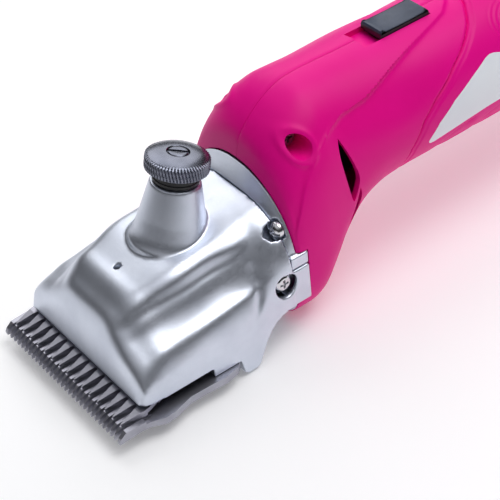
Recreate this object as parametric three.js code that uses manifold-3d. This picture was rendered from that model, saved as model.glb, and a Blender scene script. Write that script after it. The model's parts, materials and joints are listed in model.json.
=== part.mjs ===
// Electric sheep shears: cutting head, gearbox, series motor and a two-part plastic grip.
// Millimetres, +Z up, +X from the comb towards the cord end, +Y to the tool's right.
// Shapes are drawn with x = 0 at the comb tips; the whole group is then moved so that the
// origin lies on the comb's flat sole.

import * as THREE from 'three';
import { LoftGeometry } from 'three/addons/geometries/LoftGeometry.js';
import { mergeVertices } from 'three/addons/utils/BufferGeometryUtils.js';
import Module from 'manifold-3d';

const wasm = await Module();
wasm.setup();

// ---- driving dimensions -------------------------------------------------------------

const GAP = 0.3;                 // clearance between touching pieces
const SOLE_X = 34;               // the origin's distance behind the comb tips

const COMB_TEETH = 31;
const COMB_WIDTH = 77;           // first tooth tip to last tooth tip
const COMB_PITCH = COMB_WIDTH / (COMB_TEETH - 1);
const COMB_THICK = 4.3;          // at the front cutting surface
const COMB_PLATE = 3.2;          // behind the cutting surface
const COMB_END = 55.7;
const TOOTH_LENGTH = 16;
const COMB_SCREW = { x: 47, y: 21, head: 4.5, shank: 2.5 };

const CUTTER_TEETH = 15;
const CUTTER_PITCH = 2 * COMB_PITCH;
const CUTTER_TIP = 3.6;
const CUTTER_ROOT = 12.6;
const CUTTER_BACK = 26;
const CUTTER_LOW = COMB_THICK + 0.2;
const CUTTER_TOP = 7.2;

const HEAD_FRONT = 12;
const HEAD_BACK = 85;
const HEAD_WALL = 3.2;
const SKIRT_LOW = 7.5;           // lower edge of the skirt beside the cutter
const SEAT_FRONT = 44;           // the comb's seat under the head
const SEAT_Z = COMB_PLATE + GAP;
const HEEL_FRONT = 57.5;
const FLOOR_Z = 8.5;

const CRANK_Z = 26.2;            // crank shaft axis, along X
const MOTOR_Z = 55;              // armature axis, along X
const GEAR_TEETH = 60;
const PINION_TEETH = 12;
const MODULE = 2 * (MOTOR_Z - CRANK_Z) / (GEAR_TEETH + PINION_TEETH);
const CRANK_THROW = 1;           // eccentricity of the crank pin
const PIVOT_X = 60;              // vertical axis that the fork swings about
const GEAR = { from: 100.5, to: 106 };
const BRACKET = { from: 108, to: 114.5, bore: 113.4 };

// Bearings and the roller: shaft bores, and the seats' ends along the tool.
const BRACKET_SEAT = { from: BRACKET.from + 0.4, to: BRACKET.bore - 0.2 };
const CRANK_BORE = 4.3;
const MOTOR_BORE = 3.3;
const PINION_BORE = 2.7;
const PINION_OVERHANG = 0.8;
const ROLLER = { bore: 2.8, radius: 5.5, from: 78.4, to: 83.4 };
const FORK_LOW = 14;
const FORK_TOP = 19;
const FOOT = { x: 20.5, y: 17 };

const TENSION_TILT = 13.8 * Math.PI / 180;   // the tension screw leans towards the tail
const TENSION_FOOT_X = 46;                   // where its axis meets the sole plane
const TOWER_TOP = 66;                        // distances along the tension axis
const SLEEVE_TOP = 68.5;
const SLEEVE = { inner: 5.6, outer: 7 };
const KNOB_LOW = 70.9;
const KNOB_HIGH = 76.1;
const KNOB_RADIUS = 12.2;

const GRIP_FRONT = 89;
const GRIP_BACK = 302;
const GRIP_WALL = 2.6;
const TAIL_END = 328;
const INLET_RADIUS = 4.6;        // bore for the cord

const SWITCH = { front: 157, back: 179.5, half: 5.9, top: 86.2 };   // slides 8 mm forwards
const WELL = { front: 147.5, back: 181.5, half: 7.2, low: 81.2, rim: 82.2 };
const ROD_TOP = 76.6;            // the rod that links the slider to the switch

// ---- materials ----------------------------------------------------------------------

const FINISH = {
  pink: [0xd8127a, 0.42, 0],
  casting: [0xc3c8d2, 0.38, 0.9],
  blade: [0x8b8c9c, 0.32, 0.95],
  gunmetal: [0x4a4c55, 0.35, 0.9],
  bright: [0xd0d0d4, 0.18, 1],
  black: [0x17181b, 0.55, 0],
  slate: [0x3a4250, 0.4, 0],
  label: [0xd3dae4, 0.5, 0],
  steel: [0x9a9da3, 0.35, 0.9],
  laminate: [0x55585e, 0.5, 0.8],
  copper: [0xb46a3a, 0.35, 0.9],
  brass: [0xc9a24b, 0.3, 0.9],
  carbon: [0x2a2a2c, 0.8, 0],
  nylon: [0xe6e2d6, 0.5, 0],
};

const shears = new THREE.Group();
shears.position.x = -SOLE_X;

function material(key) {
  const [color, roughness, metalness] = FINISH[key];
  return new THREE.MeshStandardMaterial({ color, roughness, metalness });
}

// ---- solids and geometry ------------------------------------------------------------

function signedVolume(points, triangles) {
  const a = new THREE.Vector3();
  const b = new THREE.Vector3();
  const c = new THREE.Vector3();
  let volume = 0;
  for (let i = 0; i < triangles.length; i += 3) {
    a.fromArray(points, 3 * triangles[i]);
    b.fromArray(points, 3 * triangles[i + 1]);
    c.fromArray(points, 3 * triangles[i + 2]);
    volume += a.dot(b.cross(c));
  }
  return volume;
}

// A closed geometry as a solid whose faces point outwards.
function solid(geometry, place = new THREE.Matrix4()) {
  const bare = new THREE.BufferGeometry().copy(geometry).applyMatrix4(place);
  bare.deleteAttribute('normal');
  bare.deleteAttribute('uv');
  const welded = mergeVertices(bare, 1e-4);
  const points = new Float32Array(welded.attributes.position.array);
  const index = welded.index.array;
  const triangles = [];
  for (let i = 0; i < index.length; i += 3) {
    const [a, b, c] = [index[i], index[i + 1], index[i + 2]];
    if (a !== b && b !== c && c !== a) triangles.push(a, b, c);
  }
  if (signedVolume(points, triangles) < 0) triangles.reverse();
  const triVerts = new Uint32Array(triangles);
  return new wasm.Manifold(new wasm.Mesh({ numProp: 3, vertProperties: points, triVerts }));
}

function geometryOf(body) {
  const { vertProperties, triVerts } = body.getMesh();
  const geometry = new THREE.BufferGeometry();
  geometry.setAttribute('position', new THREE.BufferAttribute(new Float32Array(vertProperties), 3));
  geometry.setIndex(new THREE.BufferAttribute(new Uint32Array(triVerts), 1));
  geometry.computeVertexNormals();
  return geometry;
}

function add(name, body, finish) {
  const mesh = new THREE.Mesh(geometryOf(body), material(finish));
  mesh.name = name;
  shears.add(mesh);
}

// The interval from `inner` to `outer` on one side of the mid-plane.
function onSide(side, inner, outer) {
  return side > 0 ? [inner, outer] : [-outer, -inner];
}

function block([x0, x1], [y0, y1], [z0, z1]) {
  const shift = new THREE.Matrix4().makeTranslation((x0 + x1) / 2, (y0 + y1) / 2, (z0 + z1) / 2);
  return solid(new THREE.BoxGeometry(x1 - x0, y1 - y0, z1 - z0), shift);
}

// A frame whose local +Y runs along `direction` from `origin`.
function axisFrame(origin, direction) {
  const turn = new THREE.Quaternion();
  turn.setFromUnitVectors(new THREE.Vector3(0, 1, 0), direction.clone().normalize());
  return new THREE.Matrix4().compose(origin, turn, new THREE.Vector3(1, 1, 1));
}

// A turned piece: `profile` lists [radius, distance along the axis] and ends on the axis or closes.
function turned(profile, frame, sides = 16) {
  const points = profile.map(([radius, distance]) => new THREE.Vector2(radius, distance));
  return solid(new THREE.LatheGeometry(points, sides), frame);
}

const ALONG_X = new THREE.Vector3(1, 0, 0);
const ALONG_Y = new THREE.Vector3(0, 1, 0);
const ALONG_Z = new THREE.Vector3(0, 0, 1);
const motorAxis = axisFrame(new THREE.Vector3(0, 0, MOTOR_Z), ALONG_X);
const crankAxis = axisFrame(new THREE.Vector3(0, 0, CRANK_Z), ALONG_X);
const rollerAxis = axisFrame(new THREE.Vector3(0, 0, CRANK_Z + CRANK_THROW), ALONG_X);

function rod(radius, from, to, frame, sides = 16) {
  return turned([[0, from], [radius, from], [radius, to], [0, to]], frame, sides);
}

function ring(inner, outer, from, to, frame, sides = 16) {
  return turned([[inner, from], [outer, from], [outer, to], [inner, to], [inner, from]], frame, sides);
}

// A flat outline in the XY plane, raised from z0 to z1.
function plate(outline, z0, z1) {
  const shape = new THREE.Shape(outline.map(([x, y]) => new THREE.Vector2(x, y)));
  const geometry = new THREE.ExtrudeGeometry(shape, { depth: z1 - z0, bevelEnabled: false });
  return solid(geometry, new THREE.Matrix4().makeTranslation(0, 0, z0));
}

// A side-view outline of [x, z] points, run across from y0 to y1.
function sideCut(outline, y0, y1) {
  const shape = new THREE.Shape(outline.map(([x, z]) => new THREE.Vector2(x, z)));
  const geometry = new THREE.ExtrudeGeometry(shape, { depth: y1 - y0, bevelEnabled: false });
  const upright = new THREE.Matrix4().makeRotationX(Math.PI / 2).setPosition(0, y1, 0);
  return solid(geometry, upright);
}

function union(bodies) {
  return bodies.reduce((sum, body) => sum.add(body));
}

// Smooth interpolation of the number `pick(station)` between stations sorted by x.
function between(stations, x, pick) {
  const last = stations.length - 1;
  let i = 0;
  while (i < last - 1 && stations[i + 1].x <= x) i += 1;
  const slope = (k) => {
    const a = Math.max(k - 1, 0);
    const b = Math.min(k + 1, last);
    return (pick(stations[b]) - pick(stations[a])) / (stations[b].x - stations[a].x);
  };
  const span = stations[i + 1].x - stations[i].x;
  const t = THREE.MathUtils.clamp((x - stations[i].x) / span, 0, 1);
  const [p, q] = [pick(stations[i]), pick(stations[i + 1])];
  const [m, n] = [slope(i) * span, slope(i + 1) * span];
  const rise = (2 * t ** 3 - 3 * t ** 2 + 1) * p + (t ** 3 - 2 * t ** 2 + t) * m;
  return rise + (3 * t ** 2 - 2 * t ** 3) * q + (t ** 3 - t ** 2) * n;
}

// ---- comb and cutter ----------------------------------------------------------------

function makeComb() {
  const side = [[0, 39.6], [3.2, 39.8], [13.3, 40.3], [19, 42.3], [23, 42.1], [31.5, 39.9],
    [38, 40], [47.4, 40.6], [53.4, 39.4], [COMB_END, 37.4]];
  const outline = side.map(([x, y]) => [x, -y]).reverse();
  for (let i = 0; i < COMB_TEETH - 1; i += 1) {
    const y = (i + 0.5) * COMB_PITCH - COMB_WIDTH / 2;
    outline.push([0, y - 1], [3, y - 0.6], [TOOTH_LENGTH - 1, y - 0.5], [TOOTH_LENGTH, y]);
    outline.push([TOOTH_LENGTH - 1, y + 0.5], [3, y + 0.6], [0, y + 1]);
  }
  outline.push(...side);
  const noseBevel = [[-1, -0.6], [0.7, 2.4], [3.2, COMB_THICK], [3.2, 6], [-1, 6]];
  const hollow = axisFrame(new THREE.Vector3(9.5, 0, -37), ALONG_Y);
  const step = [11.6, 60];
  const rail = block([21, CUTTER_BACK - 0.5], [-33, 33], [COMB_PLATE - 1, COMB_THICK]);
  let comb = plate(outline, 0, COMB_THICK);
  comb = comb.subtract(sideCut(noseBevel, -45, 45));
  comb = comb.subtract(rod(38, -45, 45, hollow, 32));
  comb = comb.subtract(block(step, [-45, 45], [COMB_PLATE, 6])).add(rail);
  for (const y of [-COMB_SCREW.y, COMB_SCREW.y]) {
    const hole = axisFrame(new THREE.Vector3(COMB_SCREW.x, y, 0), ALONG_Z);
    const shank = COMB_SCREW.shank + GAP;
    comb = comb.subtract(rod(COMB_SCREW.head + GAP, -1, 2, hole));
    comb = comb.subtract(rod(shank, -1, 6, hole));
    comb = comb.subtract(block([COMB_SCREW.x, 60], [y - shank, y + shank], [-1, 6]));
  }
  return comb;
}

function makeCombScrew(side) {
  const frame = axisFrame(new THREE.Vector3(COMB_SCREW.x, side * COMB_SCREW.y, 0), ALONG_Z);
  const { head, shank } = COMB_SCREW;
  const body = turned([[0, 0.2], [head, 0.2], [head, 1.7], [shank, 1.7], [shank, 11], [0, 11]], frame);
  const y = side * COMB_SCREW.y;
  return body.subtract(block([COMB_SCREW.x - 6, COMB_SCREW.x + 6], [y - 0.6, y + 0.6], [-1, 1]));
}

function makeCutter() {
  const half = CUTTER_PITCH * CUTTER_TEETH / 2 - 0.9;
  const outline = [[CUTTER_BACK, -half + 4], [CUTTER_ROOT + 2, -half]];
  for (let i = 0; i < CUTTER_TEETH; i += 1) {
    const y = (i - (CUTTER_TEETH - 1) / 2) * CUTTER_PITCH;
    outline.push([CUTTER_ROOT, y - 1.9], [CUTTER_TIP, y - 0.25]);
    outline.push([CUTTER_TIP, y + 0.25], [CUTTER_ROOT, y + 1.9]);
  }
  outline.push([CUTTER_ROOT + 2, half], [CUTTER_BACK, half - 4]);
  const bevel = [[2, CUTTER_LOW + 0.6], [11, CUTTER_TOP], [11, 12], [2, 12]];
  const relief = block([CUTTER_ROOT + 1.5, 20.4], [-45, 45], [0, CUTTER_LOW + 0.8]);
  let cutter = plate(outline, CUTTER_LOW, CUTTER_TOP);
  cutter = cutter.subtract(sideCut(bevel, -45, 45)).subtract(relief);
  for (const y of [-FOOT.y, FOOT.y]) {
    const socket = axisFrame(new THREE.Vector3(FOOT.x, y, 0), ALONG_Z);
    cutter = cutter.subtract(rod(2.4, CUTTER_TOP - 1, 12, socket));
  }
  return cutter;
}

// ---- head casting -------------------------------------------------------------------

// Half sections of the head, from the roof's centre line down to the skirt: roof centre,
// roof edge, shoulder, upper valley, rib, lower valley, brow, side bulge, bulge foot, skirt.
const HEEL_LOW = -4.8;
const headStations = [
  { x: 12, half: [[0, 10], [14, 10], [18, 10], [21, 10], [24, 10], [27, 9.9], [30, 9.8], [33, 9.6],
    [35, 9.3], [36.2, 9.1]] },
  { x: 13.2, half: [[0, 19], [13, 19], [17, 18.9], [21, 18.7], [24, 18.2], [27, 17.4], [30.4, 16.3],
    [33.8, 14.4], [36, 12.4], [37, 11]] },
  { x: 14.4, half: [[0, 25], [12, 24.9], [16, 24.6], [19.6, 23.8], [22.6, 22.9], [25.6, 21.8],
    [29.4, 20.4], [33.6, 18], [36.6, 15.4], [37.8, 13]] },
  { x: 17, half: [[0, 31.5], [11.4, 31.4], [15, 30.3], [18.2, 28.6], [21, 27.4], [24.2, 25.8],
    [28.4, 24], [33.2, 21.4], [36.7, 17.2], [38, 13.5]] },
  { x: 21.5, half: [[0, 35.3], [13.4, 34.9], [16.8, 33.2], [19.4, 30.6], [21.6, 29.4], [24.4, 27.4],
    [28.6, 25.4], [33.4, 23], [36.8, 18.2], [38, 13]] },
  { x: 26, half: [[0, 38.8], [14.4, 38.3], [17.8, 36.4], [20.4, 32.8], [22.4, 31.4], [25, 28.6],
    [29, 26], [33.6, 23.6], [36.8, 18.8], [38, 13]] },
  { x: 32, half: [[0, 40.3], [15.4, 39.9], [19, 38], [21.6, 33.7], [23.6, 32.1], [26.2, 28.9],
    [30.2, 25.8], [34.4, 23.4], [37, 18.6], [38, 13]] },
  { x: 44, half: [[0, 43.4], [17.6, 42.8], [20.8, 40.5], [23.2, 35.5], [25.2, 33.5], [27.2, 30],
    [31, 26.9], [34.6, 24.9], [36.9, 20.6], [38, 12.5]] },
  { x: 58, half: [[0, 45], [17.6, 44.1], [20.8, 41.5], [23.4, 36], [25.4, 34.2], [27.6, 30.6],
    [30.8, 27.8], [34.2, 25.6], [36.8, 20.8], [38, 11]] },
  { x: 68, half: [[0, 47], [17.6, 45.6], [22.4, 42.6], [24.6, 38.4], [26.4, 35.6], [28.6, 32.2],
    [31.2, 29], [34, 26], [36.2, 20.6], [37.6, 10]] },
  { x: 75, half: [[0, 48.6], [15.6, 47.4], [21.6, 44.4], [25.2, 40.8], [27.6, 37.6], [29.8, 34.4],
    [31.8, 31.2], [33.6, 28], [35.4, 21.6], [36.4, 12]] },
  { x: 80, half: [[0, 49.6], [14.6, 48.7], [21, 46.4], [25.6, 43.4], [28.6, 40.2], [31, 37], [33, 33.4],
    [34.6, 29], [35.6, 22.4], [35.6, 13]] },
  { x: 85, half: [[0, 50.4], [14, 49.7], [20, 48], [25, 45.6], [28.6, 42], [31.4, 38.4], [33.6, 34.6],
    [34.9, 31], [35.6, 24.6], [35.2, 14]] },
];
const LANDMARKS = headStations[0].half.length;

function headHalf(x) {
  const points = [];
  for (let k = 0; k < LANDMARKS; k += 1) {
    const y = between(headStations, x, (station) => station.half[k][0]);
    const z = between(headStations, x, (station) => station.half[k][1]);
    points.push(new THREE.Vector2(y, z));
  }
  return points;
}

// A closed section at x: half outline, its mirror image and a straight lower side at z = low.
function headSection(x, { low, inset = 0, steps = 14 }) {
  const half = headHalf(x);
  const curve = new THREE.SplineCurve(half).getPoints(steps);
  const shrunk = curve.map((point, i) => {
    const ahead = curve[Math.min(i + 1, steps)];
    const behind = curve[Math.max(i - 1, 0)];
    const tangent = ahead.clone().sub(behind).normalize();
    const inward = i === 0 ? new THREE.Vector2(0, -1) : new THREE.Vector2(tangent.y, -tangent.x);
    return point.clone().addScaledVector(inward, inset);
  });
  const hem = shrunk[steps];
  const right = [new THREE.Vector2(hem.x, low), ...shrunk.slice(1).reverse()];
  const left = shrunk.slice(1).map((point) => new THREE.Vector2(-point.x, point.y));
  const outline = [...right, shrunk[0], ...left, new THREE.Vector2(-hem.x, low)];
  return outline.map((point) => [point.x, point.y]);
}

function loft(sections) {
  const rings = sections.map(({ x, outline }) => outline.map(([y, z]) => new THREE.Vector3(x, y, z)));
  return solid(new LoftGeometry(rings, { capStart: true, capEnd: true }));
}

const tensionDirection = new THREE.Vector3(Math.sin(TENSION_TILT), 0, Math.cos(TENSION_TILT));
const tensionAxis = axisFrame(new THREE.Vector3(TENSION_FOOT_X, 0, 0), tensionDirection);

const RIM_SCREW = { y: 25.4, z: 41.8, seat: 87.2 };
const SIDE_SCREW = { x: 81.4, z: 23.6, seat: 32 };

function rimScrewAxis(side) {
  return axisFrame(new THREE.Vector3(0, side * RIM_SCREW.y, RIM_SCREW.z), ALONG_X);
}

function sideScrewAxis(side) {
  return axisFrame(new THREE.Vector3(SIDE_SCREW.x, 0, SIDE_SCREW.z), new THREE.Vector3(0, side, 0));
}

function makeHead() {
  const outerX = [12, 12.6, 13.4, 14.5, 16, 18, 21.5, 26, 34, 45, 57, 66, 71, 75, 80, 85];
  const outer = loft(outerX.map((x) => ({ x, outline: headSection(x, { low: HEEL_LOW }) })));
  const innerX = [14.9, 17, 21, 26, 34, 58, 68, 75, 81, 90];
  const behind = (x) => Math.min(x < 26 ? x - 2.6 : x, HEAD_BACK);
  const innerAt = (x) => headSection(behind(x), { low: -12, inset: HEAD_WALL, steps: 6 });
  const inner = loft(innerX.map((x) => ({ x, outline: innerAt(x) })));
  const floor = [[SEAT_FRONT, -10], [SEAT_FRONT, FLOOR_Z], [73, FLOOR_Z], [77, 13], [95, 13], [95, -10]];
  let cavity = inner.subtract(sideCut(floor, -45, 45));
  for (const side of [-1, 1]) {
    cavity = cavity.subtract(rod(6.2, 68, 95, rimScrewAxis(side)));
  }

  const coneProfile = [[0, 38], [15.4, 38], [14.6, 44], [13.4, 47.5], [12.4, 52], [9.4, TOWER_TOP],
    [0, TOWER_TOP]];
  const tower = turned(coneProfile, tensionAxis, 24).subtract(cavity);
  const bore = rod(7.3, 30, 70, tensionAxis, 20);

  const underside = [[5, -8], [5, 8.7], [HEAD_FRONT, 8.7], [16, 7.9], [22, SKIRT_LOW],
    [SEAT_FRONT, SKIRT_LOW], [SEAT_FRONT, SEAT_Z], [HEEL_FRONT - 1.3, SEAT_Z], [HEEL_FRONT, -3.6],
    [60, HEEL_LOW + 0.01], [63.5, HEEL_LOW + 0.01], [65.4, -3.2], [66.8, 0], [68.8, 4], [71.9, 7.8],
    [75.5, 10], [80, 11], [95, 11], [95, -8]];
  const rimPocket = [[0, 75], [1.6, 76], [3, 78], [3.9, 80.5], [4.3, 84], [4.3, 90], [0, 90]];
  const oilHole = axisFrame(new THREE.Vector3(31.9, 0, 0), ALONG_Z);
  let head = outer.add(tower).subtract(cavity).subtract(bore);
  head = head.subtract(sideCut(underside, -45, 45)).subtract(rod(1.3, 30, 50, oilHole, 12));
  for (const side of [-1, 1]) {
    const ear = block([84.9, 93.2], onSide(side, 31.4, 34.8), [10.4, 27.4]);
    const combHole = axisFrame(new THREE.Vector3(COMB_SCREW.x, side * COMB_SCREW.y, 0), ALONG_Z);
    head = head.add(ear);
    head = head.subtract(rod(COMB_SCREW.shank + GAP, 0, 12, combHole));
    head = head.subtract(turned(rimPocket, rimScrewAxis(side)));
    head = head.subtract(rod(4.5, SIDE_SCREW.seat - 0.2, 40, sideScrewAxis(side)));
    head = head.subtract(rod(2.4, 20, 40, sideScrewAxis(side)));
  }
  return head;
}

function makeRimScrew(side) {
  const { seat } = RIM_SCREW;
  const profile = [[0, seat - 3.4], [1.8, seat - 3.2], [3.1, seat - 2.4], [3.6, seat - 1.2], [3.6, seat],
    [1.6, seat], [1.6, seat + 8], [0, seat + 8]];
  const slot = block([80, seat - 2], [side * RIM_SCREW.y - 0.5, side * RIM_SCREW.y + 0.5], [36, 48]);
  return turned(profile, rimScrewAxis(side)).subtract(slot);
}

function makeSideScrew(side) {
  const out = SIDE_SCREW.seat + 0.2;
  const profile = [[0, 22], [2, 22], [2, out], [3.5, out], [3.5, out + 1.2], [2.6, out + 1.9],
    [0, out + 2.1]];
  const across = onSide(side, out + 0.9, 40);
  const { x, z } = SIDE_SCREW;
  let screw = turned(profile, sideScrewAxis(side));
  screw = screw.subtract(block([x - 2, x + 2], across, [z - 0.5, z + 0.5]));
  return screw.subtract(block([x - 0.5, x + 0.5], across, [z - 2, z + 2]));
}

// ---- tension screw ------------------------------------------------------------------

function makeTensionPin() {
  const profile = [[0, 20.1], [1.4, 20.5], [2.3, 21.6], [2.5, 22.8], [2.5, 42], [5.2, 42], [5.2, 45],
    [2.5, 45], [2.5, 58], [0, 58]];
  return turned(profile, tensionAxis);
}

// A cap-shaped rubber ring: its skirt hangs around the sleeve, under the knob.
function makeSeal() {
  const skirt = ring(SLEEVE.outer + GAP, 8.6, TOWER_TOP + 0.4, KNOB_LOW - 1, tensionAxis);
  return skirt.add(ring(5.5, 9, SLEEVE_TOP + GAP, KNOB_LOW - GAP, tensionAxis));
}

function makeTensionSpring() {
  const turns = 5;
  const stepsPerTurn = 7;
  const [low, high] = [46.2, 59.2];
  const points = [];
  for (let i = 0; i <= turns * stepsPerTurn; i += 1) {
    const angle = 2 * Math.PI * i / stepsPerTurn;
    const height = low + (high - low) * i / (turns * stepsPerTurn);
    points.push(new THREE.Vector3(3.95 * Math.cos(angle), height, 3.95 * Math.sin(angle)));
  }
  return helixWire(points, 0.6, turns * stepsPerTurn, 5, tensionAxis);
}

function helixWire(points, radius, steps, sides, frame) {
  const shape = new THREE.Shape();
  shape.setFromPoints(Array.from({ length: sides }, (unused, i) => {
    const angle = 2 * Math.PI * i / sides;
    return new THREE.Vector2(radius * Math.cos(angle), radius * Math.sin(angle));
  }));
  const path = new THREE.CatmullRomCurve3(points);
  const options = { steps, bevelEnabled: false, extrudePath: path };
  return solid(new THREE.ExtrudeGeometry(shape, options), frame);
}

function makeKnob() {
  const profile = [[0, 60], [5.2, 60], [5.2, KNOB_LOW], [11.6, KNOB_LOW], [KNOB_RADIUS, KNOB_LOW + 0.6],
    [KNOB_RADIUS, KNOB_HIGH - 0.4], [11.6, KNOB_HIGH], [8.2, KNOB_HIGH + 1.1], [4.2, KNOB_HIGH + 1.7],
    [4.2, KNOB_HIGH + 0.2], [0, KNOB_HIGH + 0.2]];
  return turned(profile, tensionAxis, 28);
}

function makeKnobScrew() {
  const low = KNOB_HIGH + 0.2 + GAP;
  const body = turned([[0, low], [3.8, low], [3.8, low + 1.3], [3, low + 1.9], [0, low + 2.1]], tensionAxis);
  const slot = new THREE.Matrix4().makeTranslation(0, low + 2.4, 0).premultiply(tensionAxis);
  return body.subtract(solid(new THREE.BoxGeometry(12, 2, 1.1), slot));
}

// ---- fork, crank and gears ----------------------------------------------------------

function makeFork() {
  const half = [[77, 11], [70, 9], [64, 8.5], [54, 8], [44, 7], [37, 12], [25, 21], [19, 20.4], [18, 14.4]];
  const crotch = [34, 0];
  const outline = [...half, crotch, ...half.map(([x, y]) => [x, -y]).reverse()];
  const spine = plate(outline, FORK_LOW, FORK_TOP);
  const tines = [-1, 1].map((side) => {
    const across = onSide(side, 8.2, 11);
    return block([74, 84.4], across, [FORK_LOW, 33]);
  });
  const socket = axisFrame(new THREE.Vector3(PIVOT_X, 0, 0), ALONG_Z);
  let fork = union([spine, ...tines]);
  fork = fork.subtract(turned([[0, 10], [5, 10], [5, 14.6], [3.4, 16.6], [0, 17.4]], socket));
  for (const y of [-FOOT.y, FOOT.y]) {
    const hole = axisFrame(new THREE.Vector3(FOOT.x, y, 0), ALONG_Z);
    fork = fork.subtract(rod(2.3, 10, 16.5, hole));
  }
  return fork;
}

function makeForkFoot(side) {
  const frame = axisFrame(new THREE.Vector3(FOOT.x, side * FOOT.y, 0), ALONG_Z);
  const low = CUTTER_TOP - 1 + GAP;
  const profile = [[0, low], [1.6, low + 0.3], [1.9, low + 1], [1.9, CUTTER_TOP + 0.6],
    [4.4, CUTTER_TOP + 1.6], [4.4, FORK_LOW - 2], [3.2, FORK_LOW - GAP], [2, FORK_LOW - GAP], [2, 16], [0, 16]];
  return turned(profile, frame);
}

function makePivotPost() {
  const frame = axisFrame(new THREE.Vector3(PIVOT_X, 0, 0), ALONG_Z);
  const low = FLOOR_Z + GAP;
  const profile = [[0, low], [6, low], [6, low + 1.6], [4.5, low + 2.2], [4.5, 13.8], [3, 15.9], [0, 16.8]];
  return turned(profile, frame);
}

function makeCrank() {
  const pinZ = CRANK_Z + CRANK_THROW;
  const pinAxis = axisFrame(new THREE.Vector3(0, 0, pinZ), ALONG_X);
  const end = BRACKET.to - GAP;
  const shaft = turned([[0, 84.6], [6, 84.6], [6, 88.6], [4, 88.6], [4, end], [0, end]], crankAxis);
  return shaft.add(rod(2.5, 78, 85, pinAxis));
}

// A spur gear's outline with flat-sided teeth, centred on the origin.
function gearOutline(teeth, module, phase) {
  const pitchRadius = module * teeth / 2;
  const flank = [[-0.8, -0.95], [-0.28, 0.7], [0.28, 0.7], [0.8, -0.95]];
  const outline = [];
  for (let i = 0; i < teeth; i += 1) {
    const centre = phase + 2 * Math.PI * i / teeth;
    for (const [across, rise] of flank) {
      const angle = centre + across / 0.8 * module / pitchRadius;
      const radius = pitchRadius + rise / 0.8 * module;
      outline.push([radius * Math.cos(angle), radius * Math.sin(angle)]);
    }
  }
  return outline;
}

// A gear across the X axis at height z; its outline's local x points to +Y, local y to +Z.
function spurGear(teeth, phase, x0, x1, z, boreRadius) {
  const flat = plate(gearOutline(teeth, MODULE, phase), 0, x1 - x0);
  const upright = new THREE.Matrix4().set(0, 0, 1, x0, 1, 0, 0, 0, 0, 1, 0, z, 0, 0, 0, 1);
  const frame = axisFrame(new THREE.Vector3(0, 0, z), ALONG_X);
  return solid(geometryOf(flat), upright).subtract(rod(boreRadius, x0 - 1, x1 + 1, frame));
}

// ---- gearbox flange and bearing bracket ---------------------------------------------

// An oval outline in the YZ plane whose upper and lower halves have heights of their own.
// A power under 1 makes a half squarer than an ellipse.
function oval({ mid, half, top, low, upper = 1, lower = 1 }, count = 24) {
  const outline = [];
  for (let i = 0; i < count; i += 1) {
    const angle = 2 * Math.PI * (i + 0.5) / count;
    const [c, s] = [Math.cos(angle), Math.sin(angle)];
    const reach = s > 0 ? top - mid : mid - low;
    const power = s > 0 ? upper : lower;
    const across = half * Math.sign(c) * Math.abs(c) ** power;
    const height = mid + reach * Math.sign(s) * Math.abs(s) ** power;
    outline.push([across, height]);
  }
  return outline;
}

function makeFlange() {
  const rim = oval({ mid: CRANK_Z, half: 33.4, top: 50.4, low: 0, upper: 0.86, lower: 0.7 });
  const lip = oval({ mid: CRANK_Z, half: 33, top: 59.2, low: -4.2, lower: 0.62 });
  const neck = oval({ mid: CRANK_Z, half: 29.4, top: 57.6, low: 1, lower: 0.8 });
  const front = loft([{ x: HEAD_BACK + 0.4, outline: rim }, { x: GRIP_FRONT - GAP, outline: lip }]);
  let flange = front.add(loft([{ x: GRIP_FRONT - 1, outline: neck }, { x: 99, outline: neck }]));
  for (const side of [-1, 1]) {
    const lug = block([78.6, 90], onSide(side, 26.5, 30.4), [17, 27.6]);
    const tab = block([HEAD_BACK + 0.4, 93.2], onSide(side, 28, 34.4), [27.8, 33.2]);
    const earRoom = block([84, 94], onSide(side, 31.1, 40), [-8, 27.8]);
    flange = flange.add(lug).add(tab).subtract(earRoom);
    flange = flange.subtract(rod(4.4, 80, RIM_SCREW.seat + GAP, rimScrewAxis(side)));
    flange = flange.subtract(rod(1.9, 80, 97.6, rimScrewAxis(side)));
    flange = flange.subtract(rod(2.3, 20, 40, sideScrewAxis(side)));
  }
  flange = flange.subtract(rod(6.6, 80, 110, crankAxis));
  flange = flange.subtract(rod(11.3, 91, 110, crankAxis));
  const hollow = oval({ mid: CRANK_Z, half: 26, top: 54, low: 4 });
  const recess = loft([{ x: 96, outline: hollow }, { x: 110, outline: hollow }]);
  return flange.subtract(recess.subtract(rod(14.5, 80, 120, crankAxis)));
}

function makeBracket() {
  const [lower, upper, count] = [12, 14, 8];
  const arc = (radius, centre, start) => Array.from({ length: count + 1 }, (unused, i) => {
    const angle = start + Math.PI * i / count;
    return [radius * Math.cos(angle), centre + radius * Math.sin(angle)];
  });
  const outline = [...arc(lower, CRANK_Z, Math.PI), ...arc(upper, MOTOR_Z, 0)];
  const { from, to, bore } = BRACKET;
  const web = loft([{ x: from, outline }, { x: to, outline }]);
  const past = [from - 5, to + 5];
  const bracket = web.subtract(rod(8.3, past[0], bore, crankAxis)).subtract(rod(4.6, ...past, crankAxis));
  return bracket.subtract(rod(9.8, past[0], bore, motorAxis)).subtract(rod(4, ...past, motorAxis));
}

function makePinion() {
  const from = GEAR.from - PINION_OVERHANG;
  const to = GEAR.to + PINION_OVERHANG;
  return spurGear(PINION_TEETH, Math.PI / PINION_TEETH, from, to, MOTOR_Z, PINION_BORE);
}

function makeBearing(inner, outer, from, to, frame) {
  return ring(inner, outer, from, to, frame, 20);
}

// ---- motor --------------------------------------------------------------------------

const MOTOR = { shaft: 3, from: 188, to: 232, bore: 16.4, rotor: 15.9, stator: 24.6, flat: 18.4 };

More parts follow.
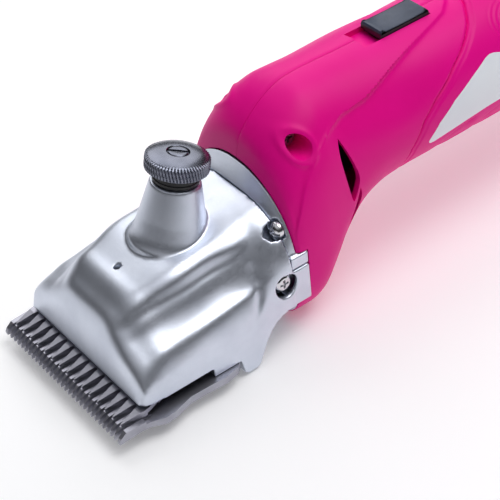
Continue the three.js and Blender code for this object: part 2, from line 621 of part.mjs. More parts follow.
function makeArmatureShaft() {
  const step = BRACKET.from - 0.6;
  const profile = [[0, 99.4], [2.4, 99.4], [2.4, step], [MOTOR.shaft, step], [MOTOR.shaft, 273], [0, 273]];
  return turned(profile, motorAxis);
}

function makeRotorCore() {
  const slots = 10;
  const outline = [];
  for (let i = 0; i < slots; i += 1) {
    const centre = 2 * Math.PI * i / slots;
    for (const [turn, radius] of [[-0.25, MOTOR.rotor], [0, MOTOR.rotor], [0.25, MOTOR.rotor],
      [0.28, 13.6], [0.36, 13.6]]) {
      outline.push([radius * Math.cos(centre + turn), radius * Math.sin(centre + turn)]);
    }
  }
  const flat = plate(outline, 0, MOTOR.to - MOTOR.from);
  const upright = new THREE.Matrix4().set(0, 0, 1, MOTOR.from, 1, 0, 0, 0, 0, 1, 0, MOTOR_Z, 0, 0, 0, 1);
  const bore = rod(MOTOR.shaft + GAP, MOTOR.from - 1, MOTOR.to + 1, motorAxis);
  return solid(geometryOf(flat), upright).subtract(bore);
}

function makeRotorWinding(from, to) {
  const inner = MOTOR.shaft + GAP;
  return turned([[inner, from], [11, from], [14, (from * 3 + to) / 4], [14, (from + to * 3) / 4], [11, to],
    [inner, to], [inner, from]], motorAxis);
}

function makeFan() {
  const [from, to] = [130, 137];
  let fan = turned([[MOTOR.shaft + GAP, from], [21, from], [21, from + 1.2], [7, from + 1.6], [7, to],
    [MOTOR.shaft + GAP, to], [MOTOR.shaft + GAP, from]], motorAxis);
  const blades = 9;
  for (let i = 0; i < blades; i += 1) {
    const turn = new THREE.Matrix4().makeRotationY(2 * Math.PI * i / blades);
    const place = new THREE.Matrix4().makeTranslation(13.4, (from + to) / 2 + 0.4, 0);
    const blade = new THREE.BoxGeometry(14.4, to - from - 1, 1.1);
    fan = fan.add(solid(blade, motorAxis.clone().multiply(turn).multiply(place)));
  }
  return fan;
}

function makeStator() {
  const { from, to, bore, stator, flat } = MOTOR;
  const flats = block([from - 1, to + 1], [-30, 30], [MOTOR_Z - flat, MOTOR_Z + flat]);
  let core = ring(bore, stator, from, to, motorAxis, 32).intersect(flats);
  for (const side of [-1, 1]) {
    const window = onSide(side, 17.2, 22);
    core = core.subtract(block([from - 1, to + 1], window, [MOTOR_Z - 8, MOTOR_Z + 8]));
  }
  return core;
}

// A field coil: a racetrack loop lying on one side of the stator bore.
function makeFieldCoil(side) {
  const across = onSide(side, 17.6, 21.6);
  const outer = block([MOTOR.from - 7, MOTOR.to + 7], across, [MOTOR_Z - 7.5, MOTOR_Z + 7.5]);
  const hole = block([MOTOR.from - 2.5, MOTOR.to + 2.5], [-30, 30], [MOTOR_Z - 3, MOTOR_Z + 3]);
  return outer.subtract(hole);
}

const BRUSH = { from: 246, to: 252, inner: 10.4, outer: 19, half: 2.6, wear: 4, wall: 1.6 };

function makeBrush(side) {
  const across = onSide(side, BRUSH.inner, BRUSH.outer - BRUSH.wear);
  return block([BRUSH.from, BRUSH.to], across, [MOTOR_Z - BRUSH.half, MOTOR_Z + BRUSH.half]);
}

function makeBrushHolder(side) {
  const across = onSide(side, BRUSH.inner + 1.4, BRUSH.outer + 6);
  const open = onSide(side, BRUSH.inner - 2, BRUSH.outer + 4.6);
  const [low, high] = [MOTOR_Z - BRUSH.half, MOTOR_Z + BRUSH.half];
  const { wall } = BRUSH;
  const outer = block([BRUSH.from - wall, BRUSH.to + wall], across, [low - wall, high + wall]);
  return outer.subtract(block([BRUSH.from - GAP, BRUSH.to + GAP], open, [low - GAP, high + GAP]));
}

function makeBrushSpring(side) {
  const [turns, stepsPerTurn] = [5, 6];
  const [low, high] = [BRUSH.outer - BRUSH.wear + 0.9, BRUSH.outer + 3.6];
  const points = [];
  for (let i = 0; i <= turns * stepsPerTurn; i += 1) {
    const angle = 2 * Math.PI * i / stepsPerTurn;
    const height = low + (high - low) * i / (turns * stepsPerTurn);
    points.push(new THREE.Vector3(1.9 * Math.cos(angle), height, 1.9 * Math.sin(angle)));
  }
  const centre = new THREE.Vector3((BRUSH.from + BRUSH.to) / 2, 0, MOTOR_Z);
  const frame = axisFrame(centre, new THREE.Vector3(0, side, 0.0001));
  return helixWire(points, 0.35, turns * stepsPerTurn, 4, frame);
}

// ---- grip ---------------------------------------------------------------------------

// Side outline and width of the grip: top and low are heights, mid is the widest level.
// The crown and belly powers make the upper and lower halves squarer below 1.
const gripStations = [
  { x: 89, top: 60, low: -4.8, mid: 26.2, half: 33.4, crown: 0.98, belly: 0.6 },
  { x: 90.5, top: 67, low: -5, mid: 27.5, half: 33.8, crown: 0.92, belly: 0.6 },
  { x: 93.8, top: 72.4, low: -5.2, mid: 29, half: 34, crown: 0.86, belly: 0.6 },
  { x: 99.2, top: 77.6, low: -5.2, mid: 31, half: 34, crown: 0.84, belly: 0.6 },
  { x: 104.6, top: 81.3, low: -3.6, mid: 33, half: 33.4, crown: 0.84, belly: 0.64 },
  { x: 111, top: 84, low: 2, mid: 37, half: 32, crown: 0.86, belly: 0.74 },
  { x: 117.6, top: 84.8, low: 10, mid: 42, half: 30.6, crown: 0.92, belly: 0.84 },
  { x: 127, top: 84.8, low: 18.6, mid: 49, half: 29.6, crown: 1, belly: 0.94 },
  { x: 138, top: 84.4, low: 23.4, mid: 53, half: 29.2, crown: 1, belly: 1 },
  { x: 150, top: 84.3, low: 25, mid: 55, half: 29.2, crown: 1, belly: 1 },
  { x: 175, top: 84.3, low: 25, mid: 55, half: 29.3, crown: 1, belly: 1 },
  { x: 205, top: 84.3, low: 25, mid: 55, half: 29.3, crown: 1, belly: 1 },
  { x: 240, top: 83.4, low: 26, mid: 55, half: 28.6, crown: 1, belly: 1 },
  { x: 275, top: 82, low: 27.5, mid: 55, half: 27.4, crown: 1, belly: 1 },
  { x: 302, top: 80.5, low: 29, mid: 55, half: 25.6, crown: 1, belly: 1 },
  { x: 315, top: 77, low: 33, mid: 55, half: 22, crown: 1, belly: 1 },
  { x: 322, top: 71.5, low: 38.5, mid: 55, half: 16.5, crown: 1, belly: 1 },
];

function gripSection(x, { inset = 0, count = 28 }) {
  const at = (key) => between(gripStations, x, (station) => station[key]);
  const [top, low, half] = [at('top') - inset, at('low') + inset, at('half') - inset];
  return oval({ mid: at('mid'), half, top, low, upper: at('crown'), lower: at('belly') }, count);
}

function gripSolid(xs, options) {
  return loft(xs.map((x) => ({ x, outline: gripSection(x, options) })));
}

const outerStops = [89, 90.5, 94, 98.5, 104, 110, 116, 122, 129, 139, 152, 190, 216, 250, 302];
const innerStops = [88, 91.5, 96, 104, 112, 120, 128, 140, 190, 240, 275, 310];

const LABEL = {
  thick: 0.7,
  margin: 0.9,
  outline: [[159.2, 45.2], [159.4, 43.4], [161.2, 42.9], [171.7, 44.1], [181.8, 45.5], [197.1, 46.9],
    [206.5, 47.4], [211.4, 48.6], [213.2, 51.6], [212.2, 60.4], [210.8, 63], [207.6, 64.8],
    [193.2, 69.4], [190.4, 68.9], [181.9, 64.8], [172, 59.6], [164, 53.1], [160, 47.4]],
};
const VENTS = [
  [[117.5, 67.1], [123, 47.6], [119.5, 39.4], [115.9, 59.2]],
  [[123.2, 44.2], [123.3, 34.6], [117.8, 28.8]],
];
const GRIP_SCREWS = [{ x: 102, z: 70 }, { x: 240, z: 33 }, { x: 288, z: 72 }, { x: 288, z: 38 }];

function gripShell() {
  const outer = gripSolid(outerStops, {});
  const inner = gripSolid(innerStops, { inset: GRIP_WALL, count: 16 });
  let shell = outer.subtract(inner);
  for (const { x, z } of GRIP_SCREWS) {
    const boss = axisFrame(new THREE.Vector3(x, 0, z), ALONG_Y);
    shell = shell.add(rod(6, -40, 40, boss).intersect(outer));
    for (const side of [-1, 1]) {
      const counterbore = axisFrame(new THREE.Vector3(x, 0, z), new THREE.Vector3(0, side, 0));
      shell = shell.subtract(rod(4.2, 13, 40, counterbore));
    }
    shell = shell.subtract(rod(1.9, -20, 20, boss));
  }
  for (const outline of VENTS) {
    shell = shell.subtract(sideCut(outline, -45, 45));
  }
  const { front, back, half, low, rim } = WELL;
  const traySpace = block([front - GAP, back + GAP], [-half - GAP, half + GAP], [low - 3, rim + GAP]);
  const mouth = block([front + 1, back - 1], [1 - half, half - 1], [low, 95]);
  shell = shell.subtract(traySpace).subtract(mouth);
  for (const side of [-1, 1]) {
    const notch = block([80, 93.6], onSide(side, 30.1, 45), [10, 33.6]);
    shell = shell.subtract(notch);
  }
  const recessFloor = gripSolid(outerStops, { inset: LABEL.thick + GAP });
  shell = shell.subtract(sideCut(LABEL.outline, -45, -15).subtract(recessFloor));
  return { shell, outer };
}

function makeLabel(outer) {
  const centre = new THREE.Vector2(190, 58);
  const smaller = LABEL.outline.map(([x, z]) => {
    const toCentre = centre.clone().sub(new THREE.Vector2(x, z)).normalize();
    return [x + LABEL.margin * toCentre.x, z + LABEL.margin * toCentre.y];
  });
  const skin = outer.subtract(gripSolid(outerStops, { inset: LABEL.thick }));
  return sideCut(smaller, -45, -15).intersect(skin);
}

function makeGripScrew({ x, z }) {
  const frame = axisFrame(new THREE.Vector3(x, 0, z), ALONG_Y);
  const body = turned([[0, -15.4], [3.2, -15.4], [3.2, -13.2], [1.6, -13.2], [1.6, 11], [0, 11]], frame);
  const cross = block([x - 2, x + 2], [-20, -14.2], [z - 0.5, z + 0.5]);
  return body.subtract(cross).subtract(block([x - 0.5, x + 0.5], [-20, -14.2], [z - 2, z + 2]));
}

function makeTailCap() {
  const xs = [GRIP_BACK + 0.4, 309, 315, 319, 322];
  let cap = gripSolid(xs, { count: 20 });
  const hollow = gripSolid([300, 309, 314, 317], { inset: 3, count: 12 });
  const nose = turned([[0, 318], [12, 318], [12, 324], [10.5, TAIL_END], [0, TAIL_END]], motorAxis);
  cap = cap.add(nose).subtract(hollow).subtract(rod(INLET_RADIUS + 1.8, 300, 326.4, motorAxis));
  cap = cap.subtract(rod(INLET_RADIUS, 300, 330, motorAxis));
  const slots = 8;
  for (let i = 0; i < slots; i += 1) {
    const turn = new THREE.Matrix4().makeRotationY(2 * Math.PI * (i + 0.5) / slots);
    const place = new THREE.Matrix4().makeTranslation(20.5, 314, 0);
    const slot = new THREE.BoxGeometry(14, 20, 2.6);
    const clear = new THREE.Matrix4().makeTranslation(0, 2.5, 0);
    cap = cap.subtract(solid(slot, motorAxis.clone().multiply(turn).multiply(place).multiply(clear)));
  }
  return cap;
}

// ---- switch -------------------------------------------------------------------------

function makeWell() {
  const { front, back, half, low, rim } = WELL;
  const tray = block([front, back], [-half, half], [low - 2, rim]);
  const open = block([front + 1, back - 1], [1 - half, half - 1], [low, 95]);
  const slot = block([front + 9.4, back - 6], [-2.4, 2.4], [low - 5, 95]);
  return tray.subtract(open).subtract(slot);
}

function makeSlider() {
  const { front, back, half, top } = SWITCH;
  const middle = (front + back) / 2;
  const outline = [[front, WELL.low + GAP], [front, top - 1.4], [front + 1.4, top], [middle, top - 0.7],
    [back - 1.4, top], [back, top - 1.4], [back, WELL.low + GAP]];
  const cap = sideCut(outline, -half, half);
  return cap.add(block([middle - 3, middle + 3], [-1.9, 1.9], [ROD_TOP + GAP, WELL.low + 1]));
}

function makeSwitchBody() {
  const box = block([246.6, 272], [-6.5, 6.5], [68.6, 78]);
  return box.subtract(block([240, 262], [-2.9, 2.9], [ROD_TOP - 2.8, ROD_TOP + 0.4]));
}

// ---- assembly -----------------------------------------------------------------------

add('comb', makeComb(), 'blade');
add('cutter', makeCutter(), 'blade');
add('head_casting', makeHead(), 'casting');
for (const [word, side] of [['left', -1], ['right', 1]]) {
  add(`comb_screw_${word}`, makeCombScrew(side), 'steel');
  add(`rim_screw_${word}`, makeRimScrew(side), 'bright');
  add(`side_screw_${word}`, makeSideScrew(side), 'bright');
  add(`fork_foot_${word}`, makeForkFoot(side), 'steel');
  add(`field_coil_${word}`, makeFieldCoil(side), 'copper');
  add(`carbon_brush_${word}`, makeBrush(side), 'carbon');
  add(`brush_holder_${word}`, makeBrushHolder(side), 'brass');
  add(`brush_spring_${word}`, makeBrushSpring(side), 'steel');
}

add('fork', makeFork(), 'steel');
add('fork_pivot_post', makePivotPost(), 'steel');
add('tension_pin', makeTensionPin(), 'steel');
add('tension_spring', makeTensionSpring(), 'steel');
add('tension_sleeve', ring(SLEEVE.inner, SLEEVE.outer, 41, SLEEVE_TOP, tensionAxis), 'bright');
add('tension_knob', makeKnob(), 'gunmetal');
add('knob_seal', makeSeal(), 'black');
add('knob_screw', makeKnobScrew(), 'gunmetal');

add('gearbox_flange', makeFlange(), 'casting');
add('bearing_bracket', makeBracket(), 'casting');
add('crank_shaft', makeCrank(), 'steel');
add('crank_roller', ring(ROLLER.bore, ROLLER.radius, ROLLER.from, ROLLER.to, rollerAxis), 'steel');
add('drive_gear', spurGear(GEAR_TEETH, 0, GEAR.from, GEAR.to, CRANK_Z, CRANK_BORE), 'nylon');
add('pinion', makePinion(), 'steel');
add('crank_bearing_front', makeBearing(CRANK_BORE, 11, 91.3, 98.3, crankAxis), 'bright');
add('crank_bearing_rear', makeBearing(CRANK_BORE, 8, BRACKET_SEAT.from, BRACKET_SEAT.to, crankAxis), 'bright');
add('motor_bearing_front', makeBearing(MOTOR_BORE, 9.5, BRACKET_SEAT.from, BRACKET_SEAT.to, motorAxis), 'bright');
add('motor_bearing_rear', makeBearing(MOTOR_BORE, 9.5, 263.6, 269.6, motorAxis), 'bright');

add('armature_shaft', makeArmatureShaft(), 'steel');
add('rotor_core', makeRotorCore(), 'laminate');
add('rotor_winding_front', makeRotorWinding(179, MOTOR.from - GAP), 'copper');
add('rotor_winding_rear', makeRotorWinding(MOTOR.to + GAP, 241), 'copper');
add('commutator', ring(MOTOR.shaft + GAP, 10, 243, 256, motorAxis), 'copper');
add('fan', makeFan(), 'black');
add('stator', makeStator(), 'laminate');
add('rear_bearing_ring', ring(9.8, 13, 263, 270.2, motorAxis), 'black');

const { shell, outer } = gripShell();
add('grip_left', shell.intersect(block([80, 310], [-60, -GAP / 2], [-20, 100])), 'pink');
add('grip_right', shell.intersect(block([80, 310], [GAP / 2, 60], [-20, 100])), 'pink');
GRIP_SCREWS.forEach((place, i) => add(`grip_screw_${i + 1}`, makeGripScrew(place), 'steel'));
add('label_plate', makeLabel(outer), 'label');
add('tail_cap', makeTailCap(), 'pink');
add('cord_bush', ring(INLET_RADIUS - 0.6, INLET_RADIUS + 1.5, 312, 326, motorAxis), 'black');

add('switch_well', makeWell(), 'pink');
add('switch_slider', makeSlider(), 'slate');
add('switch_rod', block([163, 250], [-2.5, 2.5], [ROD_TOP - 2.4, ROD_TOP]), 'black');
add('switch_body', makeSwitchBody(), 'black');

export default shears;
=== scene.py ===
# Electric sheep shears: fine surfaces, materials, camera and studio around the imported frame.
import json
import math

import bmesh
import bpy
import numpy as np
from mathutils import Matrix, Vector


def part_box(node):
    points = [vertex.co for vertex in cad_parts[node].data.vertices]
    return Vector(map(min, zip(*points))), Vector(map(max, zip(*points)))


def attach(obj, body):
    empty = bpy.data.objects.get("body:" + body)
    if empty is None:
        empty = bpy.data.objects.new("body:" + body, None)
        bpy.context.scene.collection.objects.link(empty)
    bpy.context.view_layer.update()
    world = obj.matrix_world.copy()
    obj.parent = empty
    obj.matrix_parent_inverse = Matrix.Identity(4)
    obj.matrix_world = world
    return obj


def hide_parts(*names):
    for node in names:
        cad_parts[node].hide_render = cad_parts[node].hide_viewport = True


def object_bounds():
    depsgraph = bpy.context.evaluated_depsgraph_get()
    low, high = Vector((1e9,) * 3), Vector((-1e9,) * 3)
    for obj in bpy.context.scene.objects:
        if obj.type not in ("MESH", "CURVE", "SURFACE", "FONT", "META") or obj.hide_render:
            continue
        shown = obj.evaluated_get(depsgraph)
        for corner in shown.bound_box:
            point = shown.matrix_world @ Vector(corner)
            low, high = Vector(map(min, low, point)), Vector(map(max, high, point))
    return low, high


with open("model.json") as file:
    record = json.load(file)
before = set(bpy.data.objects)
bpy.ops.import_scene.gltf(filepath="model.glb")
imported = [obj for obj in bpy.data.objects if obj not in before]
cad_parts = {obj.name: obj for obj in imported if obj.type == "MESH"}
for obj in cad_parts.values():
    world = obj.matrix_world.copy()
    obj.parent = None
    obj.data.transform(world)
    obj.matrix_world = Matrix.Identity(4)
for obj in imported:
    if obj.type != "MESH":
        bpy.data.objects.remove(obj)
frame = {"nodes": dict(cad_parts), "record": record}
cad_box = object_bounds()

MM = 0.001
COMB_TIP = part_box("comb")[0].x          # the comb tips; shapes below are drawn in mm from there
TIP_MM = -COMB_TIP / MM
LOWEST = cad_box[0][2] / MM + 0.03      # nothing reaches below the CAD model
VOXEL = 0.5                             # the grid that the cast surfaces are remeshed on
CAST_WALL, GRIP_WALL = 2.5, 2.6

MOTOR_Z, CRANK_Z = 55.0, 26.2
TILT = math.radians(13.8)
TENSION_FOOT_X = 46.0
ALONG = {"x": (1, 0, 0), "y": (0, 1, 0), "z": (0, 0, 1)}

# ---------------------------------------------------------------- meshes


def metres(points):
    p = np.array(points, float).reshape(-1, 3)
    p[:, 0] -= TIP_MM
    return p * MM


def raw(name, verts_mm, faces):
    mesh = bpy.data.meshes.new(name)
    mesh.from_pydata(metres(verts_mm).tolist(), [], [tuple(f) for f in faces])
    mesh.validate()
    bm = bmesh.new()
    bm.from_mesh(mesh)
    bmesh.ops.recalc_face_normals(bm, faces=bm.faces)
    bm.to_mesh(mesh)
    bm.free()
    obj = bpy.data.objects.new(name, mesh)
    bpy.context.scene.collection.objects.link(obj)
    return obj


def bake(obj):
    """Replaces an object's mesh by its mesh with modifiers applied."""
    bpy.context.view_layer.update()
    done = bpy.data.meshes.new_from_object(obj.evaluated_get(bpy.context.evaluated_depsgraph_get()))
    old = obj.data
    obj.modifiers.clear()
    obj.data = done
    bpy.data.meshes.remove(old)
    return obj


def join_cut(obj, others, operation="DIFFERENCE", keep=False):
    for other in others:
        mod = obj.modifiers.new("cut", "BOOLEAN")
        mod.operation = operation
        mod.solver = "MANIFOLD"
        mod.object = other
        bake(obj)
        if len(obj.data.polygons) < 4:
            raise RuntimeError(f"{obj.name}: {operation} with {other.name} left nothing")
        if not keep:
            bpy.data.objects.remove(other)
    return obj


def soften(obj, voxel, rounds, more=None):
    """Remeshes a solid evenly and rounds its corners, as casting and moulding do.
    more is (rounds, weight of a vertex in mm coordinates) for places that are rounder."""
    mod = obj.modifiers.new("even", "REMESH")
    mod.mode = "VOXEL"
    mod.voxel_size = voxel * MM
    soft = obj.modifiers.new("soft", "SMOOTH")
    soft.factor = 0.5
    soft.iterations = rounds
    bake(obj)
    if more:
        extra, weight = more
        points = np.empty(len(obj.data.vertices) * 3)
        obj.data.vertices.foreach_get("co", points)
        points = points.reshape(-1, 3) / MM + (TIP_MM, 0, 0)
        group = obj.vertex_groups.new(name="rounder")
        values = (weight(points) * 20).round().astype(int)
        for level in range(1, 21):
            group.add(np.nonzero(values == level)[0].tolist(), level / 20, "REPLACE")
        soft = obj.modifiers.new("rounder", "SMOOTH")
        soft.factor, soft.iterations, soft.vertex_group = 0.5, extra, "rounder"
        bake(obj)
        obj.vertex_groups.clear()
    return obj


def bevel(obj, width, segments=2, angle=35):
    mod = obj.modifiers.new("bevel", "BEVEL")
    mod.width = width * MM
    mod.segments = segments
    mod.limit_method = "ANGLE"
    mod.angle_limit = math.radians(angle)
    mod.use_clamp_overlap = True
    return bake(obj)


def finish_piece(obj, body, material, replaces=(), angle=35):
    obj.data.materials.clear()
    obj.data.materials.append(material)
    obj.data.shade_smooth()
    if angle:
        obj.data.set_sharp_from_angle(angle=math.radians(angle))
    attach(obj, body)
    if replaces:
        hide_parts(*replaces)
    return obj


def loft(name, rings, closed=True):
    """A solid through equal-length rings of points, with flat ends."""
    rings = np.asarray(rings, float)
    count, width = rings.shape[:2]
    faces = []
    for i in range(count - 1):
        for j in range(width if closed else width - 1):
            k = (j + 1) % width
            faces.append((i * width + j, i * width + k, (i + 1) * width + k, (i + 1) * width + j))
    faces.append(tuple(range(width - 1, -1, -1)))
    faces.append(tuple((count - 1) * width + j for j in range(width)))
    return raw(name, rings.reshape(-1, 3), faces)


def axis_frame(origin, direction):
    """Origin and two cross directions of an axis."""
    d = np.array(direction, float)
    d /= np.linalg.norm(d)
    helper = np.array((0.0, 0.0, 1.0)) if abs(d[2]) < 0.9 else np.array((0.0, 1.0, 0.0))
    u = np.cross(helper, d)
    u /= np.linalg.norm(u)
    return np.array(origin, float), d, u, np.cross(d, u)


def lathe(name, profile, frame_of, sides=64, shape=None):
    """A turned solid; profile lists (radius, distance) from axis to axis, or closes on itself."""
    origin, d, u, v = frame_of
    on_axis = profile[0][0] == 0 and profile[-1][0] == 0
    body = profile[1:-1] if on_axis else (profile[:-1] if profile[0] == profile[-1] else profile)
    turn = np.arange(sides) * 2 * math.pi / sides
    rings = []
    for radius, distance in body:
        r = np.full(sides, float(radius))
        if shape is not None:
            r = shape(r, distance, turn)
        rings.append(origin + d * distance + np.outer(r * np.cos(turn), u) + np.outer(r * np.sin(turn), v))
    count = len(rings)
    verts = np.concatenate(rings).tolist()
    faces = []
    spans = count - 1 if on_axis else count
    for i in range(spans):
        n = (i + 1) % count
        for j in range(sides):
            k = (j + 1) % sides
            faces.append((i * sides + j, i * sides + k, n * sides + k, n * sides + j))
    if on_axis:
        first, last = len(verts), len(verts) + 1
        verts.append((origin + d * profile[0][1]).tolist())
        verts.append((origin + d * profile[-1][1]).tolist())
        for j in range(sides):
            k = (j + 1) % sides
            faces.append((first, k, j))
            faces.append((last, (count - 1) * sides + j, (count - 1) * sides + k))
    return raw(name, verts, faces)


def rod(name, radius, a, b, frame_of, sides=48):
    return lathe(name, [(0, a), (radius, a), (radius, b), (0, b)], frame_of, sides)


def rounded(profile, radius, steps=4):
    """Rounds the inner corners of an open (radius, distance) profile."""
    out = [profile[0]]
    for before, corner, after in zip(profile, profile[1:], profile[2:]):
        p, c, q = (np.array(t, float) for t in (before, corner, after))
        a, b = p - c, q - c
        la, lb = np.linalg.norm(a), np.linalg.norm(b)
        cut = min(radius, 0.45 * la, 0.45 * lb)
        start, end = c + a / la * cut, c + b / lb * cut
        for i in range(steps + 1):
            t = i / steps
            out.append(tuple((1 - t) ** 2 * start + 2 * t * (1 - t) * c + t * t * end))
    out.append(profile[-1])
    return out


BOX_FACES = [(0, 1, 3, 2), (4, 6, 7, 5), (0, 4, 5, 1), (2, 3, 7, 6), (0, 2, 6, 4), (1, 5, 7, 3)]


def box(name, x, y, z):
    """A box between the two values given for each axis."""
    return raw(name, [(a, b, c) for a in x for b in sorted(y) for c in z], BOX_FACES)


def prism(name, outline, y0, y1):
    """A side outline of (x, z) points, run across from y0 to y1."""
    n = len(outline)
    verts = [(x, y0, z) for x, z in outline] + [(x, y1, z) for x, z in outline]
    faces = [tuple(range(n)), tuple(range(2 * n - 1, n - 1, -1))]
    faces += [(i, (i + 1) % n, n + (i + 1) % n, n + i) for i in range(n)]
    return raw(name, verts, faces)


def catmull(points, steps):
    """Uniform Catmull-Rom through points, sampled at steps + 1 places."""
    p = np.asarray(points, float)
    t = np.linspace(0, len(p) - 1, steps + 1)
    i = np.minimum(t.astype(int), len(p) - 2)
    w = (t - i)[:, None]
    p0 = p[np.maximum(i - 1, 0)]
    p0 = np.where((i == 0)[:, None], p[0], p0)
    p1, p2 = p[i], p[i + 1]
    p3 = p[np.minimum(i + 2, len(p) - 1)]
    m1, m2 = (p2 - p0) / 2, (p3 - p1) / 2
    h = 2 * p1 - 2 * p2 + m1 + m2
    return h * w**3 + (-3 * p1 + 3 * p2 - 2 * m1 - m2) * w**2 + m1 * w + p1


def hermite(xs, values, x):
    """Smooth interpolation of values, numbers or arrays, between stations at the rising places xs."""
    xs, values = np.asarray(xs, float), np.asarray(values, float)
    x = np.clip(np.asarray(x, float), xs[0], xs[-1])
    last = len(xs) - 1
    slope = np.array([(values[min(k + 1, last)] - values[max(k - 1, 0)])
                      / (xs[min(k + 1, last)] - xs[max(k - 1, 0)]) for k in range(last + 1)])
    i = np.clip(np.searchsorted(xs, x, side="right") - 1, 0, last - 1)
    span = xs[i + 1] - xs[i]
    t = (x - xs[i]) / span
    tail = (1,) * (values.ndim - 1)
    t, span = t.reshape(-1, *tail), span.reshape(-1, *tail)
    a, b = values[i], values[i + 1]
    return ((2 * t**3 - 3 * t**2 + 1) * a + (t**3 - 2 * t**2 + t) * slope[i] * span
            + (3 * t**2 - 2 * t**3) * b + (t**3 - t**2) * slope[i + 1] * span)


# ---------------------------------------------------------------- materials


def material(name, color, metallic=0.0, roughness=0.5):
    mat = bpy.data.materials.new(name)
    mat.use_nodes = True
    nodes, links = mat.node_tree.nodes, mat.node_tree.links
    shader = nodes["Principled BSDF"]
    shader.inputs["Base Color"].default_value = (*color, 1)
    shader.inputs["Metallic"].default_value = metallic
    shader.inputs["Roughness"].default_value = roughness
    return mat, nodes, links, shader


def srgb(r, g, b):
    """A display colour of 0 to 255 as a linear one."""
    shares = (r / 255, g / 255, b / 255)
    return tuple(c / 12.92 if c <= 0.04045 else ((c + 0.055) / 1.055) ** 2.4 for c in shares)


def noise(nodes, links, scale, detail=4.0, rough=0.5, stretch=None):
    coords = nodes.new("ShaderNodeTexCoord")
    source = coords.outputs["Object"]
    if stretch is not None:
        mapping = nodes.new("ShaderNodeMapping")
        mapping.inputs["Scale"].default_value = stretch
        links.new(source, mapping.inputs["Vector"])
        source = mapping.outputs["Vector"]
    tex = nodes.new("ShaderNodeTexNoise")
    tex.inputs["Scale"].default_value = scale
    tex.inputs["Detail"].default_value = detail
    tex.inputs["Roughness"].default_value = rough
    links.new(source, tex.inputs["Vector"])
    return tex.outputs["Fac"]


def spread(nodes, links, value, low, high, from_low=0.3, from_high=0.7):
    ramp = nodes.new("ShaderNodeMapRange")
    ramp.inputs["From Min"].default_value = from_low
    ramp.inputs["From Max"].default_value = from_high
    ramp.inputs["To Min"].default_value = low
    ramp.inputs["To Max"].default_value = high
    links.new(value, ramp.inputs["Value"])
    return ramp.outputs["Result"]


def tint(nodes, links, shader, value, low, high):
    ramp = nodes.new("ShaderNodeValToRGB")
    ramp.color_ramp.elements[0].position = 0.3
    ramp.color_ramp.elements[1].position = 0.7
    ramp.color_ramp.elements[0].color = (*low, 1)
    ramp.color_ramp.elements[1].color = (*high, 1)
    links.new(value, ramp.inputs["Fac"])
    links.new(ramp.outputs["Color"], shader.inputs["Base Color"])


def bumps(nodes, links, shader, layers):
    """Adds (height, strength, distance in mm) layers, one over the other."""
    normal = None
    for height, strength, distance in layers:
        bump = nodes.new("ShaderNodeBump")
        bump.inputs["Strength"].default_value = strength
        bump.inputs["Distance"].default_value = distance * MM
        links.new(height, bump.inputs["Height"])
        if normal is not None:
            links.new(normal, bump.inputs["Normal"])
        normal = bump.outputs["Normal"]
    links.new(normal, shader.inputs["Normal"])


def finish(name, low, high, metallic, rough, grain, stretch=None, patches=90, extra=(), gloss=0.5):
    """A surface with colour drift and a fine grain, which also varies the roughness.
    grain is (scale, strength, height in mm); extra holds more of those; gloss is the specular level."""
    mat, nodes, links, shader = material(name, low, metallic, rough[0])
    shader.inputs["Specular IOR Level"].default_value = gloss
    drift = noise(nodes, links, patches, 3.0)
    tint(nodes, links, shader, drift, low, high)
    fine = noise(nodes, links, grain[0], 2.0, 0.6, stretch)
    links.new(spread(nodes, links, fine, rough[0], rough[1]), shader.inputs["Roughness"])
    layers = [(fine, grain[1], grain[2])]
    for scale, strength, height in extra:
        layers.append((noise(nodes, links, scale, 3.0), strength, height))
    bumps(nodes, links, shader, layers)
    return mat


